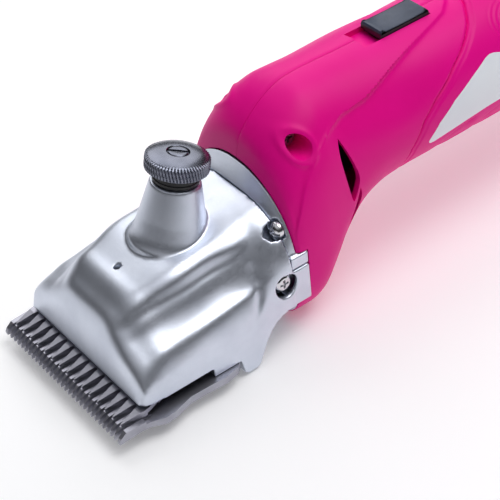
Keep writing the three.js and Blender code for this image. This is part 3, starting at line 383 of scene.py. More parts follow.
MATS = {
    "grip": finish("satin_magenta_plastic", srgb(234, 3, 137), srgb(238, 6, 142), 0.0, (0.38, 0.46),
                   (2600, 0.08, 0.03), None, 30, ((160, 0.04, 0.2),), 0.15),
    "casting": finish("blasted_aluminium", (0.6, 0.64, 0.73), (0.7, 0.74, 0.83), 1.0, (0.33, 0.46),
                      (1700, 0.5, 0.05), None, 60, ((800, 0.12, 0.06),)),
    "blade": finish("ground_blade_steel", (0.34, 0.34, 0.39), (0.44, 0.44, 0.5), 1.0, (0.34, 0.46),
                    (2600, 0.06, 0.02), (1, 0.2, 1), 120),
    "gunmetal": finish("dark_turned_steel", (0.15, 0.16, 0.2), (0.21, 0.22, 0.27), 1.0, (0.2, 0.3),
                       (2400, 0.06, 0.02), None, 150),
    "polished_steel": finish("polished_steel", (0.62, 0.62, 0.65), (0.72, 0.72, 0.75), 1.0, (0.12, 0.2),
                             (800, 0.05, 0.02), None, 200),
    "steel": finish("machined_steel", (0.36, 0.37, 0.39), (0.46, 0.47, 0.5), 1.0, (0.25, 0.38),
                    (1000, 0.14, 0.03), (1, 0.15, 0.15), 160),
    "black_rubber": finish("black_rubber", (0.012, 0.012, 0.014), (0.02, 0.02, 0.022), 0.0, (0.5, 0.65),
                           (1500, 0.15, 0.05)),
    "black_plastic": finish("black_plastic", (0.01, 0.01, 0.012), (0.017, 0.017, 0.02), 0.0, (0.35, 0.5),
                            (1600, 0.12, 0.04)),
    "slate_plastic": finish("slate_switch_plastic", (0.03, 0.042, 0.075), (0.045, 0.06, 0.1), 0.0,
                            (0.3, 0.42), (1400, 0.12, 0.04), None, 260, (), 0.35),
    "label": finish("pale_label_plate", srgb(236, 241, 248), srgb(242, 246, 251), 0.0, (0.4, 0.5),
                    (1800, 0.08, 0.02), None, 40),
    "gear_plastic": finish("ivory_gear_plastic", (0.70, 0.66, 0.54), (0.78, 0.74, 0.62), 0.0, (0.3, 0.42),
                           (900, 0.1, 0.04)),
    "laminated_iron": finish("stacked_sheet_iron", (0.16, 0.165, 0.18), (0.28, 0.285, 0.3), 1.0,
                             (0.35, 0.55), (1300, 0.5, 0.08), (1, 0.03, 0.03), 80),
    "copper": finish("enamelled_copper_wire", (0.42, 0.13, 0.045), (0.62, 0.22, 0.08), 1.0, (0.22, 0.35),
                     (1400, 0.6, 0.12), (0.08, 1, 1), 120),
    "brass": finish("bright_brass", (0.62, 0.43, 0.14), (0.72, 0.52, 0.2), 1.0, (0.2, 0.32),
                    (900, 0.1, 0.03)),
    "carbon": finish("brush_carbon", (0.02, 0.02, 0.021), (0.035, 0.035, 0.037), 0.0, (0.6, 0.8),
                     (1800, 0.3, 0.06)),
}
slot_of = {part["node"]: part["material_slot"] for part in frame["record"]["subparts"]}


def smooth_by_angle(limit):
    """A node group that shades smooth across edges flatter than limit."""
    group = bpy.data.node_groups.new("smooth_by_angle", "GeometryNodeTree")
    group.interface.new_socket("Geometry", in_out="INPUT", socket_type="NodeSocketGeometry")
    group.interface.new_socket("Geometry", in_out="OUTPUT", socket_type="NodeSocketGeometry")
    n, k = group.nodes, group.links
    start, end = n.new("NodeGroupInput"), n.new("NodeGroupOutput")
    angle = n.new("GeometryNodeInputMeshEdgeAngle")
    flat = n.new("FunctionNodeCompare")
    flat.data_type, flat.operation = "FLOAT", "LESS_THAN"
    flat.inputs[1].default_value = limit
    faces, edges = n.new("GeometryNodeSetShadeSmooth"), n.new("GeometryNodeSetShadeSmooth")
    faces.domain, edges.domain = "FACE", "EDGE"
    k.new(start.outputs[0], faces.inputs["Geometry"])
    k.new(faces.outputs["Geometry"], edges.inputs["Geometry"])
    k.new(angle.outputs["Unsigned Angle"], flat.inputs[0])
    k.new(flat.outputs[0], edges.inputs["Shade Smooth"])
    k.new(edges.outputs["Geometry"], end.inputs[0])
    return group


SMOOTH = smooth_by_angle(math.radians(32))
for node, obj in frame["nodes"].items():
    obj.data.materials.clear()
    obj.data.materials.append(MATS[slot_of[node]])
    if node not in ("comb", "cutter"):
        edge = obj.modifiers.new("edge_round", "BEVEL")
        edge.width = 0.16 * MM
        edge.segments = 2
        edge.limit_method = "ANGLE"
        edge.angle_limit = math.radians(40)
    shade = obj.modifiers.new("smooth", "NODES")
    shade.node_group = SMOOTH

# ---------------------------------------------------------------- axes

motor = axis_frame((0, 0, MOTOR_Z), ALONG["x"])
crank = axis_frame((0, 0, CRANK_Z), ALONG["x"])
tension = axis_frame((TENSION_FOOT_X, 0, 0), (math.sin(TILT), 0, math.cos(TILT)))


def vertical(x, y):
    return axis_frame((x, y, 0), ALONG["z"])


# ---------------------------------------------------------------- head casting

# Half sections from the roof's centre to the skirt: centre, roof edge, shoulder, upper valley,
# rib, lower valley, brow, side bulge, bulge foot, skirt.
HEAD = [
    (12, [(0, 10), (14, 10), (18, 10), (21, 10), (24, 10), (27, 9.9), (30, 9.8), (33, 9.6), (35, 9.3),
         (36.2, 9.1)]),
    (13.2, [(0, 19), (13, 19), (17, 18.9), (21, 18.7), (24, 18.2), (27, 17.4), (30.4, 16.3), (33.8, 14.4),
         (36, 12.4), (37, 11)]),
    (14.4, [(0, 25), (12, 24.9), (16, 24.6), (19.6, 23.8), (22.6, 22.9), (25.6, 21.8), (29.4, 20.4),
         (33.6, 18), (36.6, 15.4), (37.8, 13)]),
    (17, [(0, 31.5), (11.4, 31.4), (15, 30.3), (18.2, 28.6), (21, 27.2), (24.2, 25.4), (28.4, 23.4),
         (33.2, 20.8), (36.7, 16.8), (38, 13)]),
    (21.5, [(0, 35.3), (12.6, 35), (17.2, 33.3), (19.8, 30.4), (21.8, 29), (24.4, 26.8), (28.6, 24.8),
         (33.6, 22), (36.9, 16.8), (38, 12)]),
    (26, [(0, 38.8), (13.6, 38.4), (18.2, 36.5), (20.8, 32.8), (22.8, 31), (25.4, 28.2), (29, 26),
         (33.8, 23.4), (37, 17.4), (38, 12)]),
    (32, [(0, 40.3), (14.8, 40), (18.9, 38.1), (21.4, 34.1), (23.3, 32.3), (26, 29.3), (29.6, 26.7),
         (34, 24), (37.1, 18), (38, 12)]),
    (44, [(0, 43.4), (16.6, 43), (20.9, 40.9), (23.2, 36.2), (25, 34.2), (27.4, 31), (30.6, 28),
         (34.6, 25.4), (37.2, 19.6), (38, 12)]),
    (58, [(0, 45), (16.6, 44.5), (21, 42.2), (23, 37.4), (24.8, 35.4), (27.2, 32), (30.4, 28.9),
         (34.2, 26.2), (37.2, 19), (38, 11)]),
    (68, [(0, 47), (16.6, 46), (22.2, 43), (24.6, 38.8), (26.4, 36.4), (28.8, 32.8), (31.2, 29.8),
         (34, 26.6), (36.8, 19.4), (37.6, 10)]),
    (75, [(0, 48.6), (15.6, 47.4), (21.6, 44.4), (25.2, 40.8), (27.6, 37.6), (29.8, 34.4), (31.8, 31.2),
         (33.6, 28), (35.4, 21.6), (36.4, 12)]),
    (80, [(0, 49.6), (14.6, 48.7), (21, 46.4), (25.6, 43.4), (28.6, 40.2), (31, 37), (33, 33.4), (34.6, 29),
         (35.6, 22.4), (35.6, 13)]),
    (85, [(0, 50.4), (14, 49.7), (20, 48), (25, 45.6), (28.6, 42), (31.4, 38.4), (33.6, 34.6), (34.9, 31),
         (35.6, 24.6), (35.2, 14)]),
]
HEAD_X = [x for x, _ in HEAD]
HEAD_HALF = np.array([half for _, half in HEAD], float)


def head_relief(x, t):
    """Stand-off of the cast skin in mm at x and landmark number t: the bulge ends in a rounded nose."""
    centre = 71 - 2.2 * np.clip(t - 6.5, 0, None) ** 2
    within = np.clip((t - 4) / 1.2, 0, 1) * np.clip((8.6 - t) / 1.2, 0, 1)
    dip = np.exp(-(((x - centre) / 2.2) ** 2)) * within
    swell = np.exp(-(((x - 62) / 7) ** 2) - ((t - 6.8) / 0.8) ** 2)
    return -0.8 * dip + 0.3 * swell


def head_rings(xs, low, inset=0.0, steps=90, at=None):
    rings = []
    for x, real in zip(xs, at if at is not None else xs):
        marks = hermite(HEAD_X, HEAD_HALF, [real])[0]
        chord = np.concatenate([[0], np.cumsum(np.hypot(*np.diff(marks, axis=0).T))])
        along = np.linspace(0, chord[-1], steps + 1)
        curve = hermite(chord, marks, along)
        ahead = np.roll(curve, -1, 0)
        ahead[-1] = curve[-1]
        behind = np.roll(curve, 1, 0)
        behind[0] = curve[0]
        tangent = ahead - behind
        tangent /= np.linalg.norm(tangent, axis=1)[:, None]
        inward = np.stack([tangent[:, 1], -tangent[:, 0]], 1)
        inward[0] = (0, -1)
        landmark = np.interp(along, chord, np.arange(len(marks)))
        depth = inset if inset else -head_relief(real, landmark)[:, None]
        curve = curve + inward * depth
        hem = curve[-1]
        half = [(hem[0], low), *curve[1:][::-1].tolist()]
        other = [(-y, z) for y, z in curve[1:].tolist()]
        ring = [*half, tuple(curve[0]), *other, (-hem[0], low)]
        rings.append([(x, y, z) for y, z in ring])
    return rings


HEM_LOW = -4.8
RIM = {"y": 25.4, "z": 41.8, "seat": 87.2}
SIDE = {"x": 81.4, "z": 23.6, "seat": 32.0}


def rim_axis(side):
    return axis_frame((0, side * RIM["y"], RIM["z"]), ALONG["x"])


def side_axis(side):
    return axis_frame((SIDE["x"], 0, SIDE["z"]), (0, side, 0))


def make_head():
    fine = np.concatenate([np.linspace(12, 15, 13), np.linspace(15.5, 30, 30), np.linspace(31, 85, 64)])
    head = loft("head_skin", head_rings(fine, HEM_LOW))
    flare = [(0, 36), (16.2, 36), (16, 42.4), (15.1, 43.6), (14.4, 45), (13.8, 46.8), (13.2, 49.2),
             (12.5, 52), (9.65, 65.6), (9.3, 66), (0, 66)]
    tower = lathe("tower", flare, tension, 72)
    join_cut(head, [tower], "UNION")
    inner = np.array([14.9, 17, 21, 26, 34, 58, 68, 75, 81, 90])
    real = np.minimum(np.where(inner < 26, inner - 2.6, inner), 85)
    cavity = loft("cavity", head_rings(inner, -12, CAST_WALL, 12, real))
    floor = prism("floor", [(44, -10), (44, 8.5), (73, 8.5), (77, 13), (95, 13), (95, -10)], -45, 45)
    join_cut(cavity, [floor, *(rod("pocket_wall", 6.2, 60, 95, rim_axis(side)) for side in (-1, 1))])
    hem = [(5, -8), (5, 8.7), (12, 8.7), (16, 7.9), (22, 7.5), (44, 7.5), (44, 3.5), (56.2, 3.5), (56.9, 0),
           (57.5, -3.4), (58.6, -4.5), (60, -4.9), (63.5, -4.9), (65, -3.9), (65.6, -2.9), (66.8, 0),
           (68.8, 4), (71.9, 7.8), (75.5, 10), (80, 11), (95, 11), (95, -8)]
    under = prism("under", hem, -45, 45)
    cuts = [cavity, rod("bore", 7.3, 30, 72, tension), under]
    for side in (-1, 1):
        pocket = [(0, 79.6), (1.8, 80.2), (3, 81.5), (3.8, 83.2), (4.2, 85), (4.3, 90), (0, 90)]
        cuts.append(lathe("pocket", pocket, rim_axis(side), 40))
        off_centre = axis_frame((SIDE["x"] + 0.5, 0, SIDE["z"] - 0.7), (0, side, 0))
        recess = [(0, 31.8), (5, 31.8), (5, 34.8), (5.4, 36.4), (5.4, 42), (0, 42)]
        cuts.append(lathe("seat", rounded(recess, 0.3), off_centre, 48))
        cuts.append(rod("side_hole", 2.4, 20, 40, side_axis(side), 24))
        cuts.append(rod("comb_hole", 2.8, 0, 12, vertical(47, side * 21), 24))
    for side in (-1, 1):
        join_cut(head, [box("ear", (84.2, 93.2), (side * 31.4, side * 34.8), (10.4, 27.4))], "UNION")
    join_cut(head, cuts)

    def brow(p):
        return np.clip((27 - p[:, 0]) / 6, 0, 1) * np.clip((p[:, 2] - 14) / 4, 0, 1)

    soften(head, VOXEL, 7, (40, brow))
    oil = [(0, 30), (1.25, 30), (1.25, 39.8), (1.9, 40.6), (2.2, 41.4), (0, 41.5)]
    join_cut(head, [lathe("oil", oil, vertical(31.9, 0), 32)])
    return finish_piece(head, "shears", MATS["casting"], ["head_casting"], 60)


# ---------------------------------------------------------------- flange


def oval(mid, half, top, low, upper=1.0, lower=1.0, count=200):
    turn = 2 * math.pi * (np.arange(count) + 0.5) / count
    c, s = np.cos(turn), np.sin(turn)
    reach = np.where(s > 0, top - mid, mid - low)
    power = np.where(s > 0, upper, lower)
    across = half * np.sign(c) * np.abs(c) ** power
    return np.stack([across, mid + reach * np.sign(s) * np.abs(s) ** power], 1)


def ring_at(x, outline):
    return [(x, y, z) for y, z in outline]


def make_flange():
    def rim(t):
        return oval(CRANK_Z, 33.5 + 0.2 * t, 50.6 + 9.6 * t**1.25, -4.5 * t, 0.86 + 0.13 * t, 0.7 - 0.1 * t)

    front = loft("flange_skin", [ring_at(85.4 + 3.3 * t, rim(t)) for t in np.linspace(0, 1, 10)])
    neck = oval(CRANK_Z, 29.4, 57.6, 1, 1, 0.8)
    join_cut(front, [loft("neck", [ring_at(88, neck), ring_at(99, neck)])], "UNION")
    cuts = []
    for side in (-1, 1):
        join_cut(front, [box("lug", (78.6, 90), (side * 26.5, side * 30.4), (17, 27.6)),
                         box("tab", (85.4, 93.2), (side * 28, side * 34.4), (27.8, 33.2))], "UNION")
        cuts.append(box("ear_room", (84, 94), (side * 31.1, side * 40), (-8, 27.8)))
        cuts.append(rod("rim_room", 4.4, 80, RIM["seat"] + 0.3, rim_axis(side)))
        cuts.append(rod("rim_hole", 1.9, 80, 97.6, rim_axis(side), 24))
        cuts.append(rod("side_room", 2.3, 20, 40, side_axis(side), 24))
    recess = oval(CRANK_Z, 26, 54, 4)
    hollow = loft("hollow", [ring_at(96, recess), ring_at(110, recess)])
    join_cut(hollow, [rod("hub", 14.5, 80, 120, crank)])
    join_cut(front, [*cuts, rod("shaft_room", 6.6, 80, 110, crank),
                     rod("bearing_room", 11.3, 91, 110, crank), hollow])
    soften(front, VOXEL, 3)
    return finish_piece(front, "shears", MATS["casting"], ["gearbox_flange"], 60)


# ---------------------------------------------------------------- grip

GRIP = np.array([
    # x, top, low, mid, half, crown, belly
    (89, 60, -4.8, 26.2, 33.4, 0.98, 0.6), (90.5, 67, -5, 27.5, 33.8, 0.92, 0.6),
    (93.8, 72.4, -5.2, 29, 34, 0.86, 0.6), (99.2, 77.6, -5.2, 31, 34, 0.84, 0.6),
    (104.6, 81.3, -3.6, 33, 33.4, 0.84, 0.64), (111, 84, 2, 37, 32, 0.86, 0.74),
    (117.6, 84.8, 10, 42, 30.6, 0.92, 0.84), (127, 84.8, 18.6, 49, 29.6, 1, 0.94),
    (138, 84.4, 23.4, 53, 29.2, 1, 1), (150, 84.3, 25, 55, 29.2, 1, 1), (175, 84.3, 25, 55, 29.3, 1, 1),
    (205, 84.3, 25, 55, 29.3, 1, 1), (240, 83.4, 26, 55, 28.6, 1, 1), (275, 82, 27.5, 55, 27.4, 1, 1),
    (302, 80.5, 29, 55, 25.6, 1, 1), (315, 77, 33, 55, 22, 1, 1), (322, 71.5, 38.5, 55, 16.5, 1, 1),
])


def grip_at(xs):
    return hermite(GRIP[:, 0], GRIP[:, 1:], np.asarray(xs, float))


def grip_arc(x_values, count, inset=0.0):
    """Evenly spaced half sections from the bottom to the top, and each point's arc distance from the top."""
    turn = np.linspace(-math.pi / 2, math.pi / 2, 1601)
    c, s = np.cos(turn), np.sin(turn)
    halves, arcs = [], []
    for top, low, mid, half, crown, belly in grip_at(x_values):
        top, low, half = top - inset, low + inset, half - inset
        power = np.where(s > 0, crown, belly)
        y = half * np.abs(c) ** power
        z = mid + np.where(s > 0, top - mid, mid - low) * np.sign(s) * np.abs(s) ** power
        length = np.concatenate([[0], np.cumsum(np.hypot(np.diff(y), np.diff(z)))])
        even = np.linspace(0, length[-1], count)
        halves.append(np.stack([np.interp(even, length, y), np.interp(even, length, z)], 1))
        arcs.append(length[-1] - even)
    return np.array(halves), np.array(arcs)


def polyline_distance(px, pa, line):
    """Distance to a polyline and the side of it: positive to the left of its direction."""
    best = np.full(px.shape, 1e9)
    sign = np.ones(px.shape)
    for (x0, a0), (x1, a1) in zip(line[:-1], line[1:]):
        dx, da = x1 - x0, a1 - a0
        t = np.clip(((px - x0) * dx + (pa - a0) * da) / (dx * dx + da * da), 0, 1)
        qx, qa = px - x0 - t * dx, pa - a0 - t * da
        d = np.hypot(qx, qa)
        closer = d < best
        best = np.where(closer, d, best)
        sign = np.where(closer, np.sign(dx * qa - da * qx), sign)
    return best, sign


def to_arc(points):
    """(x, z) on the grip's side as (x, arc distance from the top)."""
    out = []
    for x, z in points:
        half, arc = grip_arc([x], 400)
        out.append((x, float(np.interp(z, half[0][:, 1], arc[0]))))
    return out


# Two lines moulded into the grip: CREASE runs from the flank over the shoulder to behind the switch, and
# GROOVE crosses the rear half. Their last two points, over the top, are given as (x, arc distance).
CREASE = to_arc([(86, 26), (89.8, 38.9), (93.2, 48.3), (98.5, 58.7), (102.4, 63.1), (106.5, 66.6),
                 (110.6, 69.2), (115.4, 71.4), (122, 73.4), (128, 74), (133.8, 74.4), (140.7, 76.2),
                 (148.5, 78.2), (155.6, 79.6), (163.2, 80.8), (171.3, 81.8), (178.5, 82.6), (185.2, 83.3)])
CREASE += [(190.5, 3.4), (193, -1)]
GROOVE = to_arc([(147.8, 26), (148.9, 34.8), (151, 46), (156.6, 56.3), (163.6, 62.5), (171.2, 67.3),
                 (176, 70.7), (181.4, 73.6), (186.5, 76.6), (190.8, 79.3)])
GROOVE += [(196, 9), (199.5, -1)]
FINGERS = [to_arc([(160 + k, 31), (167.1 + k, 36), (169.6 + k, 39.5), (173.9 + k, 42), (178.4 + k, 43.4),
                   (182 + k, 44)]) for k in (0, 19.4, 38.8, 58.2)]
BOSSES = [(102, 70), (240, 33), (288, 72), (288, 38)]   # (x, z) of the grip screws


def step(v):
    v = np.clip(v, 0, 1)
    return v * v * (3 - 2 * v)


def grip_relief(x, arc, z):
    """How far the moulded surface stands off the plain lofted one, in mm."""
    d, side = polyline_distance(x, arc, CREASE)
    inside = -side * d          # positive towards the front and top
    amount = step((x - 107) / 16)
    edge = 1 - np.exp(-np.clip(np.abs(inside), 0, None) / 0.9)
    fall = np.exp(-np.abs(inside) / 11.0)
    flank = np.where(inside < 0, 1.0, 0.0)
    relief = -1.35 * amount * flank * edge * fall
    relief += -1.1 * (1 - amount) * (1 - flank) * edge * np.exp(-np.abs(inside) / 7.0)
    relief += -2.1 * np.exp(-(((x - 147) / 17) ** 2) - ((arc - 30) / 12) ** 2) * flank
    g, gside = polyline_distance(x, arc, GROOVE)
    back = gside * g            # positive behind the groove
    relief += -1.3 * np.exp(-((g / 0.45) ** 2))
    relief += -0.35 * step((back + 0.2) / 0.6) * step((3.0 - back) / 0.8)
    for line in FINGERS:
        f, fside = polyline_distance(x, arc, line)
        below = fside * f       # positive below the crescent
        within = step((f < 9) * (x - line[0][0] + 3) / 6) * step((line[-1][0] + 5 - x) / 6)
        relief += -1.5 * within * step((below + 0.2) / 0.9) * np.exp(-np.clip(below, 0, None) / 5.0)
    rings = np.hypot((x - 214) / 1.25, arc - 24)
    relief += 0.11 * np.sin(rings * 3.4) * step((13 - rings) / 1.5) * (rings > 1)
    boss_x, boss_z = BOSSES[0]
    lip = np.hypot(x - boss_x, z - boss_z)
    relief += 0.5 * np.exp(-((lip - 5.4) ** 2))
    relief += -0.35 * np.exp(-((arc / 0.5) ** 2))
    fade = step((x - 89.2) / 2.2)
    return relief * fade


def skin_points(xs, count):
    """Points of one side (y positive) of the moulded surface, bottom to top."""
    half, arc = grip_arc(xs, count)
    x = np.repeat(np.asarray(xs, float)[:, None], count, 1)
    p = np.stack([x, half[..., 0], half[..., 1]], 2)
    along = np.gradient(p, axis=0)
    up = np.gradient(p, axis=1)
    normal = np.cross(along, up)
    normal /= np.maximum(np.linalg.norm(normal, axis=2), 1e-9)[..., None]
    if normal[len(xs) // 2, count // 2, 1] < 0:
        normal = -normal
    normal[:, 0] = (0, 0, -1)
    normal[:, -1] = (0, 0, 1)
    normal[0] = normal[0] * (0, 1, 1)
    moved = p + normal * grip_relief(x, arc, p[..., 2])[..., None]
    moved[:, 0, 1] = moved[:, -1, 1] = 0
    moved[..., 2] = np.maximum(moved[..., 2], LOWEST)
    return moved


VENTS = (
    [(117.5, 67.1), (119.4, 62), (121.4, 56), (122.9, 50.5), (123, 47.2), (121.6, 43), (119.5, 39.4),
     (117.9, 44.5), (116.5, 52), (115.9, 59.2), (116.4, 64)],
    [(123.2, 44.2), (124.2, 39.6), (123.4, 34.6), (121.2, 31), (117.6, 28.4), (119.4, 33), (121.6, 38.6)],
)
WELL = {"front": 147.5, "back": 181.5, "half": 7.2, "low": 81.2, "rim": 82.2}


def make_grip(side):
    word = "left" if side < 0 else "right"
    xs = np.concatenate([np.linspace(89, 94, 16), np.linspace(94.5, 130, 72), np.linspace(130.5, 226, 240),
                         np.linspace(227, 302, 60)])
    seam = 0.07
    rings = skin_points(xs, 170)
    rings[..., 1] = np.maximum(rings[..., 1], 0) + seam
    rings[..., 1] *= side
    skin = loft(f"grip_{word}_skin", rings)
    inner_x = [88, 91.5, 96, 104, 112, 120, 128, 140, 190, 240, 275, 310]
    half, _ = grip_arc(inner_x, 24, GRIP_WALL)
    inner = []
    for x, ring in zip(inner_x, half):
        pts = [(x, side * (y - 1.0 * (i in (0, 23))), z) for i, (y, z) in enumerate(ring)]
        inner.append(pts)
    whole = skin.copy()
    whole.data = skin.data.copy()
    bpy.context.scene.collection.objects.link(whole)
    join_cut(skin, [loft("inner", inner)])
    bores = []
    for bx, bz in BOSSES:
        hole = axis_frame((bx, 0, bz), (0, side, 0))
        boss = rod("boss", 6, 0.1, 40, hole)
        join_cut(boss, [whole], "INTERSECT", keep=True)
        join_cut(skin, [boss], "UNION")
        counterbore = rounded([(0, 13), (4.2, 13), (4.2, 45), (0, 45)], 0.2)
        bores.append(lathe("counterbore", counterbore, hole, 48))
        bores.append(rod("screw_hole", 1.9, -5, 20, hole, 24))
    bpy.data.objects.remove(whole)
    for outline in VENTS:
        closed = catmull([*outline, outline[0]], 60)[:-1]
        bores.append(prism("vent", closed.tolist(), *sorted((side * 12, side * 45))))
    w = WELL
    bores.append(box("well", (w["front"] - 0.1, w["back"] + 0.1), (-w["half"] - 0.1, w["half"] + 0.1),
                     (70, w["rim"] + 0.1)))
    bores.append(box("mouth", (w["front"] + 0.2, w["back"] - 0.8), (1 - w["half"], w["half"] - 1), (70, 95)))
    bores.append(box("notch", (80, 93.6), (side * 30.1, side * 45), (10, 33.6)))
    join_cut(skin, bores)
    return finish_piece(skin, "shears", MATS["grip"], [f"grip_{word}"], 38)


LABEL = [(159.7, 45.2), (159.9, 44.1), (161.2, 43.5), (163, 43.3), (171.7, 44.7), (181.8, 46.1),
         (189.6, 47.1), (197.1, 47.5), (206.5, 48), (210.4, 49), (212.6, 51.6), (212.4, 56), (211.6, 60.4),
         (210.4, 62.6), (207.6, 64.2), (198.6, 67.4), (195.2, 68.5), (192.9, 68.8), (190.6, 68.3),
         (181.9, 64.2), (172, 58.9), (164.1, 52.5), (160.4, 47)]


def make_label():
    """A thin curved plate on the left side: rows across between its lower and upper edge."""
    outline = np.array(LABEL)
    xs = np.linspace(159.75, 212.55, 110)
    rows = []
    for x in xs:
        hits = []
        for (x0, z0), (x1, z1) in zip(outline, np.roll(outline, -1, 0)):
            if (x0 - x) * (x1 - x) <= 0 and x0 != x1:
                hits.append(z0 + (x - x0) / (x1 - x0) * (z1 - z0))
        rows.append((min(hits), max(hits)))
    count = 48
    half, _ = grip_arc(xs, 600)
    outer, inner = [], []
    for i, x in enumerate(xs):
        low, high = rows[i]
        z = np.linspace(low, max(high, low + 0.05), count)
        y = np.interp(z, half[i][:, 1], half[i][:, 0])
        radial = np.stack([y, z - MOTOR_Z], 1)
        radial /= np.linalg.norm(radial, axis=1)[:, None]
        for store, lift in ((outer, 0.12), (inner, -1.6)):
            store.append([(x, -(b + r[0] * lift), c + r[1] * lift) for b, c, r in zip(y, z, radial)])
    n = len(xs)
    verts = [p for row in outer for p in row] + [p for row in inner for p in row]
    faces = []
    base = n * count
    for i in range(n - 1):
        for j in range(count - 1):
            a = i * count + j
            faces.append((a, a + 1, a + count + 1, a + count))
            faces.append((base + a, base + a + count, base + a + count + 1, base + a + 1))
    edge = [i * count for i in range(n)] + [(n - 1) * count + j for j in range(1, count)]
    edge += [i * count + count - 1 for i in range(n - 2, -1, -1)] + list(range(count - 2, 0, -1))
    for a, b in zip(edge, edge[1:] + edge[:1]):
        faces.append((a, b, base + b, base + a))
    label = raw("label_skin", verts, faces)
    bevel(label, 0.1, 2, 50)
    return finish_piece(label, "shears", MATS["label"], ["label_plate"], 40)


def make_tail():
    xs = np.concatenate([np.linspace(302.4, 315, 22), np.linspace(315.6, 322, 16)])

    def rings(x_values, inset, count):
        half, _ = grip_arc(x_values, count, inset)
        out = []
        for x, ring in zip(x_values, half):
            right = [(x, y, z) for y, z in ring]
            out.append(right + [(x, -y, z) for y, z in ring[-2:0:-1]])
        return out

    cap = loft("tail_skin", rings(xs, 0, 90))
    nose = lathe("nose", rounded([(0, 318), (12, 318), (12, 324), (10.5, 328), (0, 328)], 0.8), motor, 96)
    join_cut(cap, [nose], "UNION")
    inlet = [(0, 300), (4.6, 300), (4.6, 327.2), (5.3, 329), (0, 329)]
    cuts = [loft("hollow", rings([300, 309, 314, 317], 3, 40)), rod("bush_room", 6.4, 300, 326.4, motor, 64),
            lathe("inlet", inlet, motor, 64)]
    for i in range(8):
        slot = box("slot", (306.5, 326.5), (-1.3, 1.3), (13.5, 27.5))
        spin = Matrix.Rotation(2 * math.pi * (i + 0.5) / 8, 4, "X")
        shift = Matrix.Translation((0, 0, MOTOR_Z * MM))
        slot.data.transform(shift @ spin)
        cuts.append(slot)
    join_cut(cap, cuts)
    bevel(cap, 0.3, 2, 50)
    return finish_piece(cap, "shears", MATS["grip"], ["tail_cap"], 38)


# ---------------------------------------------------------------- tension knob

KNOB = {"low": 70.9, "high": 76.1, "radius": 12.2}
KNURL_COUNT, KNURL_LEAN, KNURL_FROM, KNURL_DEPTH = 60, 0.026, 11.45, 0.65


def knurl(r, distance, turn):
    """Crossing shallow grooves around the knob's rim, where it is wider than KNURL_FROM."""
    if r[0] < KNURL_FROM:
        return r
    lean = distance * KNURL_LEAN
    one = np.abs(np.sin(KNURL_COUNT / 2 * (turn + lean)))
    other = np.abs(np.sin(KNURL_COUNT / 2 * (turn - lean)))
    return r - KNURL_DEPTH * (1 - np.minimum(one, 0.65 + 0.35 * other))


def make_knob():
    low, high, radius = KNOB["low"], KNOB["high"], KNOB["radius"]
    profile = [(0, 60), (5.2, 60), (5.2, low), (11.4, low), (11.75, low + 0.2)]
    profile += [(radius - 0.05, d) for d in np.linspace(low + 0.4, high - 0.2, 26)]
    crown = [(11.85, -0.05), (11.5, 0.12), (11, 0.4), (9.9, 0.86), (8.4, 1.3), (6.6, 1.62), (4.9, 1.8),
             (4.4, 1.8), (4.2, 1.6), (4.2, 0.2), (0, 0.2)]
    profile += [(r, high + rise) for r, rise in crown]
    knob = lathe("knob_skin", profile, tension, 12 * KNURL_COUNT, knurl)
    finish_piece(knob, "knob", MATS["gunmetal"], ["tension_knob"], 30)
    seal = [(7.3, 66.4), (8.5, 66.4), (8.75, 66.65), (8.75, 67.6), (8.4, 67.85), (8.4, 68.1), (8.75, 68.35),
            (8.75, 69.3), (8.4, 69.5), (8.4, 69.8), (9.2, 70), (9.2, 70.6), (5.5, 70.6), (5.5, 68.8),
            (7.3, 68.8), (7.3, 66.4)]
    finish_piece(lathe("knob_seal_skin", seal, tension, 96), "knob", MATS["black_rubber"],
                 ["knob_seal"], 50)
    base = high + 0.5
    head = [(0, base), (3.8, base), (3.8, base + 1.15), (3.3, base + 1.4), (0, base + 1.5)]
    screw = lathe("knob_screw_skin", rounded(head, 0.25), tension, 64)
    foot, d, _, _ = tension
    centre = foot + d * (base + 1.6)
    corners = [centre + d * a + np.array((b, c, 0)) for a in (-1, 1) for b in (-0.7, 0.7) for c in (-6, 6)]
    slot = raw("slot", corners, BOX_FACES)
    middle = Vector(metres([centre])[0])
    spin = Matrix.Rotation(math.radians(52), 4, Vector(d))
    slot.data.transform(Matrix.Translation(middle) @ spin @ Matrix.Translation(-middle))
    join_cut(screw, [slot])
    bevel(screw, 0.1, 2, 40)
    finish_piece(screw, "knob", MATS["gunmetal"], ["knob_screw"], 35)
    sleeve = [(5.6, 41), (7, 41), (7, 68.3), (6.8, 68.5), (5.6, 68.5), (5.6, 41)]
    finish_piece(lathe("sleeve_skin", sleeve, tension, 96), "shears",
                 MATS["polished_steel"], ["tension_sleeve"], 40)


# ---------------------------------------------------------------- screws


def make_rim_screw(word, side):
    seat, y, z = RIM["seat"], side * RIM["y"], RIM["z"]
    head = [(0, seat - 3.4), (2, seat - 3.15), (3.1, seat - 2.4), (3.6, seat - 1.2), (3.6, seat),
            (1.6, seat), (1.6, seat + 8), (0, seat + 8)]
    screw = lathe(f"rim_screw_{word}_skin", rounded(head, 0.35), rim_axis(side), 56)
    deep = (80, seat - 1.9)
    join_cut(screw, [box("slot_a", deep, (y - 0.5, y + 0.5), (36, 48)),
                     box("slot_b", deep, (side * 20, side * 31), (z - 0.5, z + 0.5))])
    bevel(screw, 0.12, 2, 40)
    finish_piece(screw, "shears", MATS["polished_steel"], [f"rim_screw_{word}"], 35)


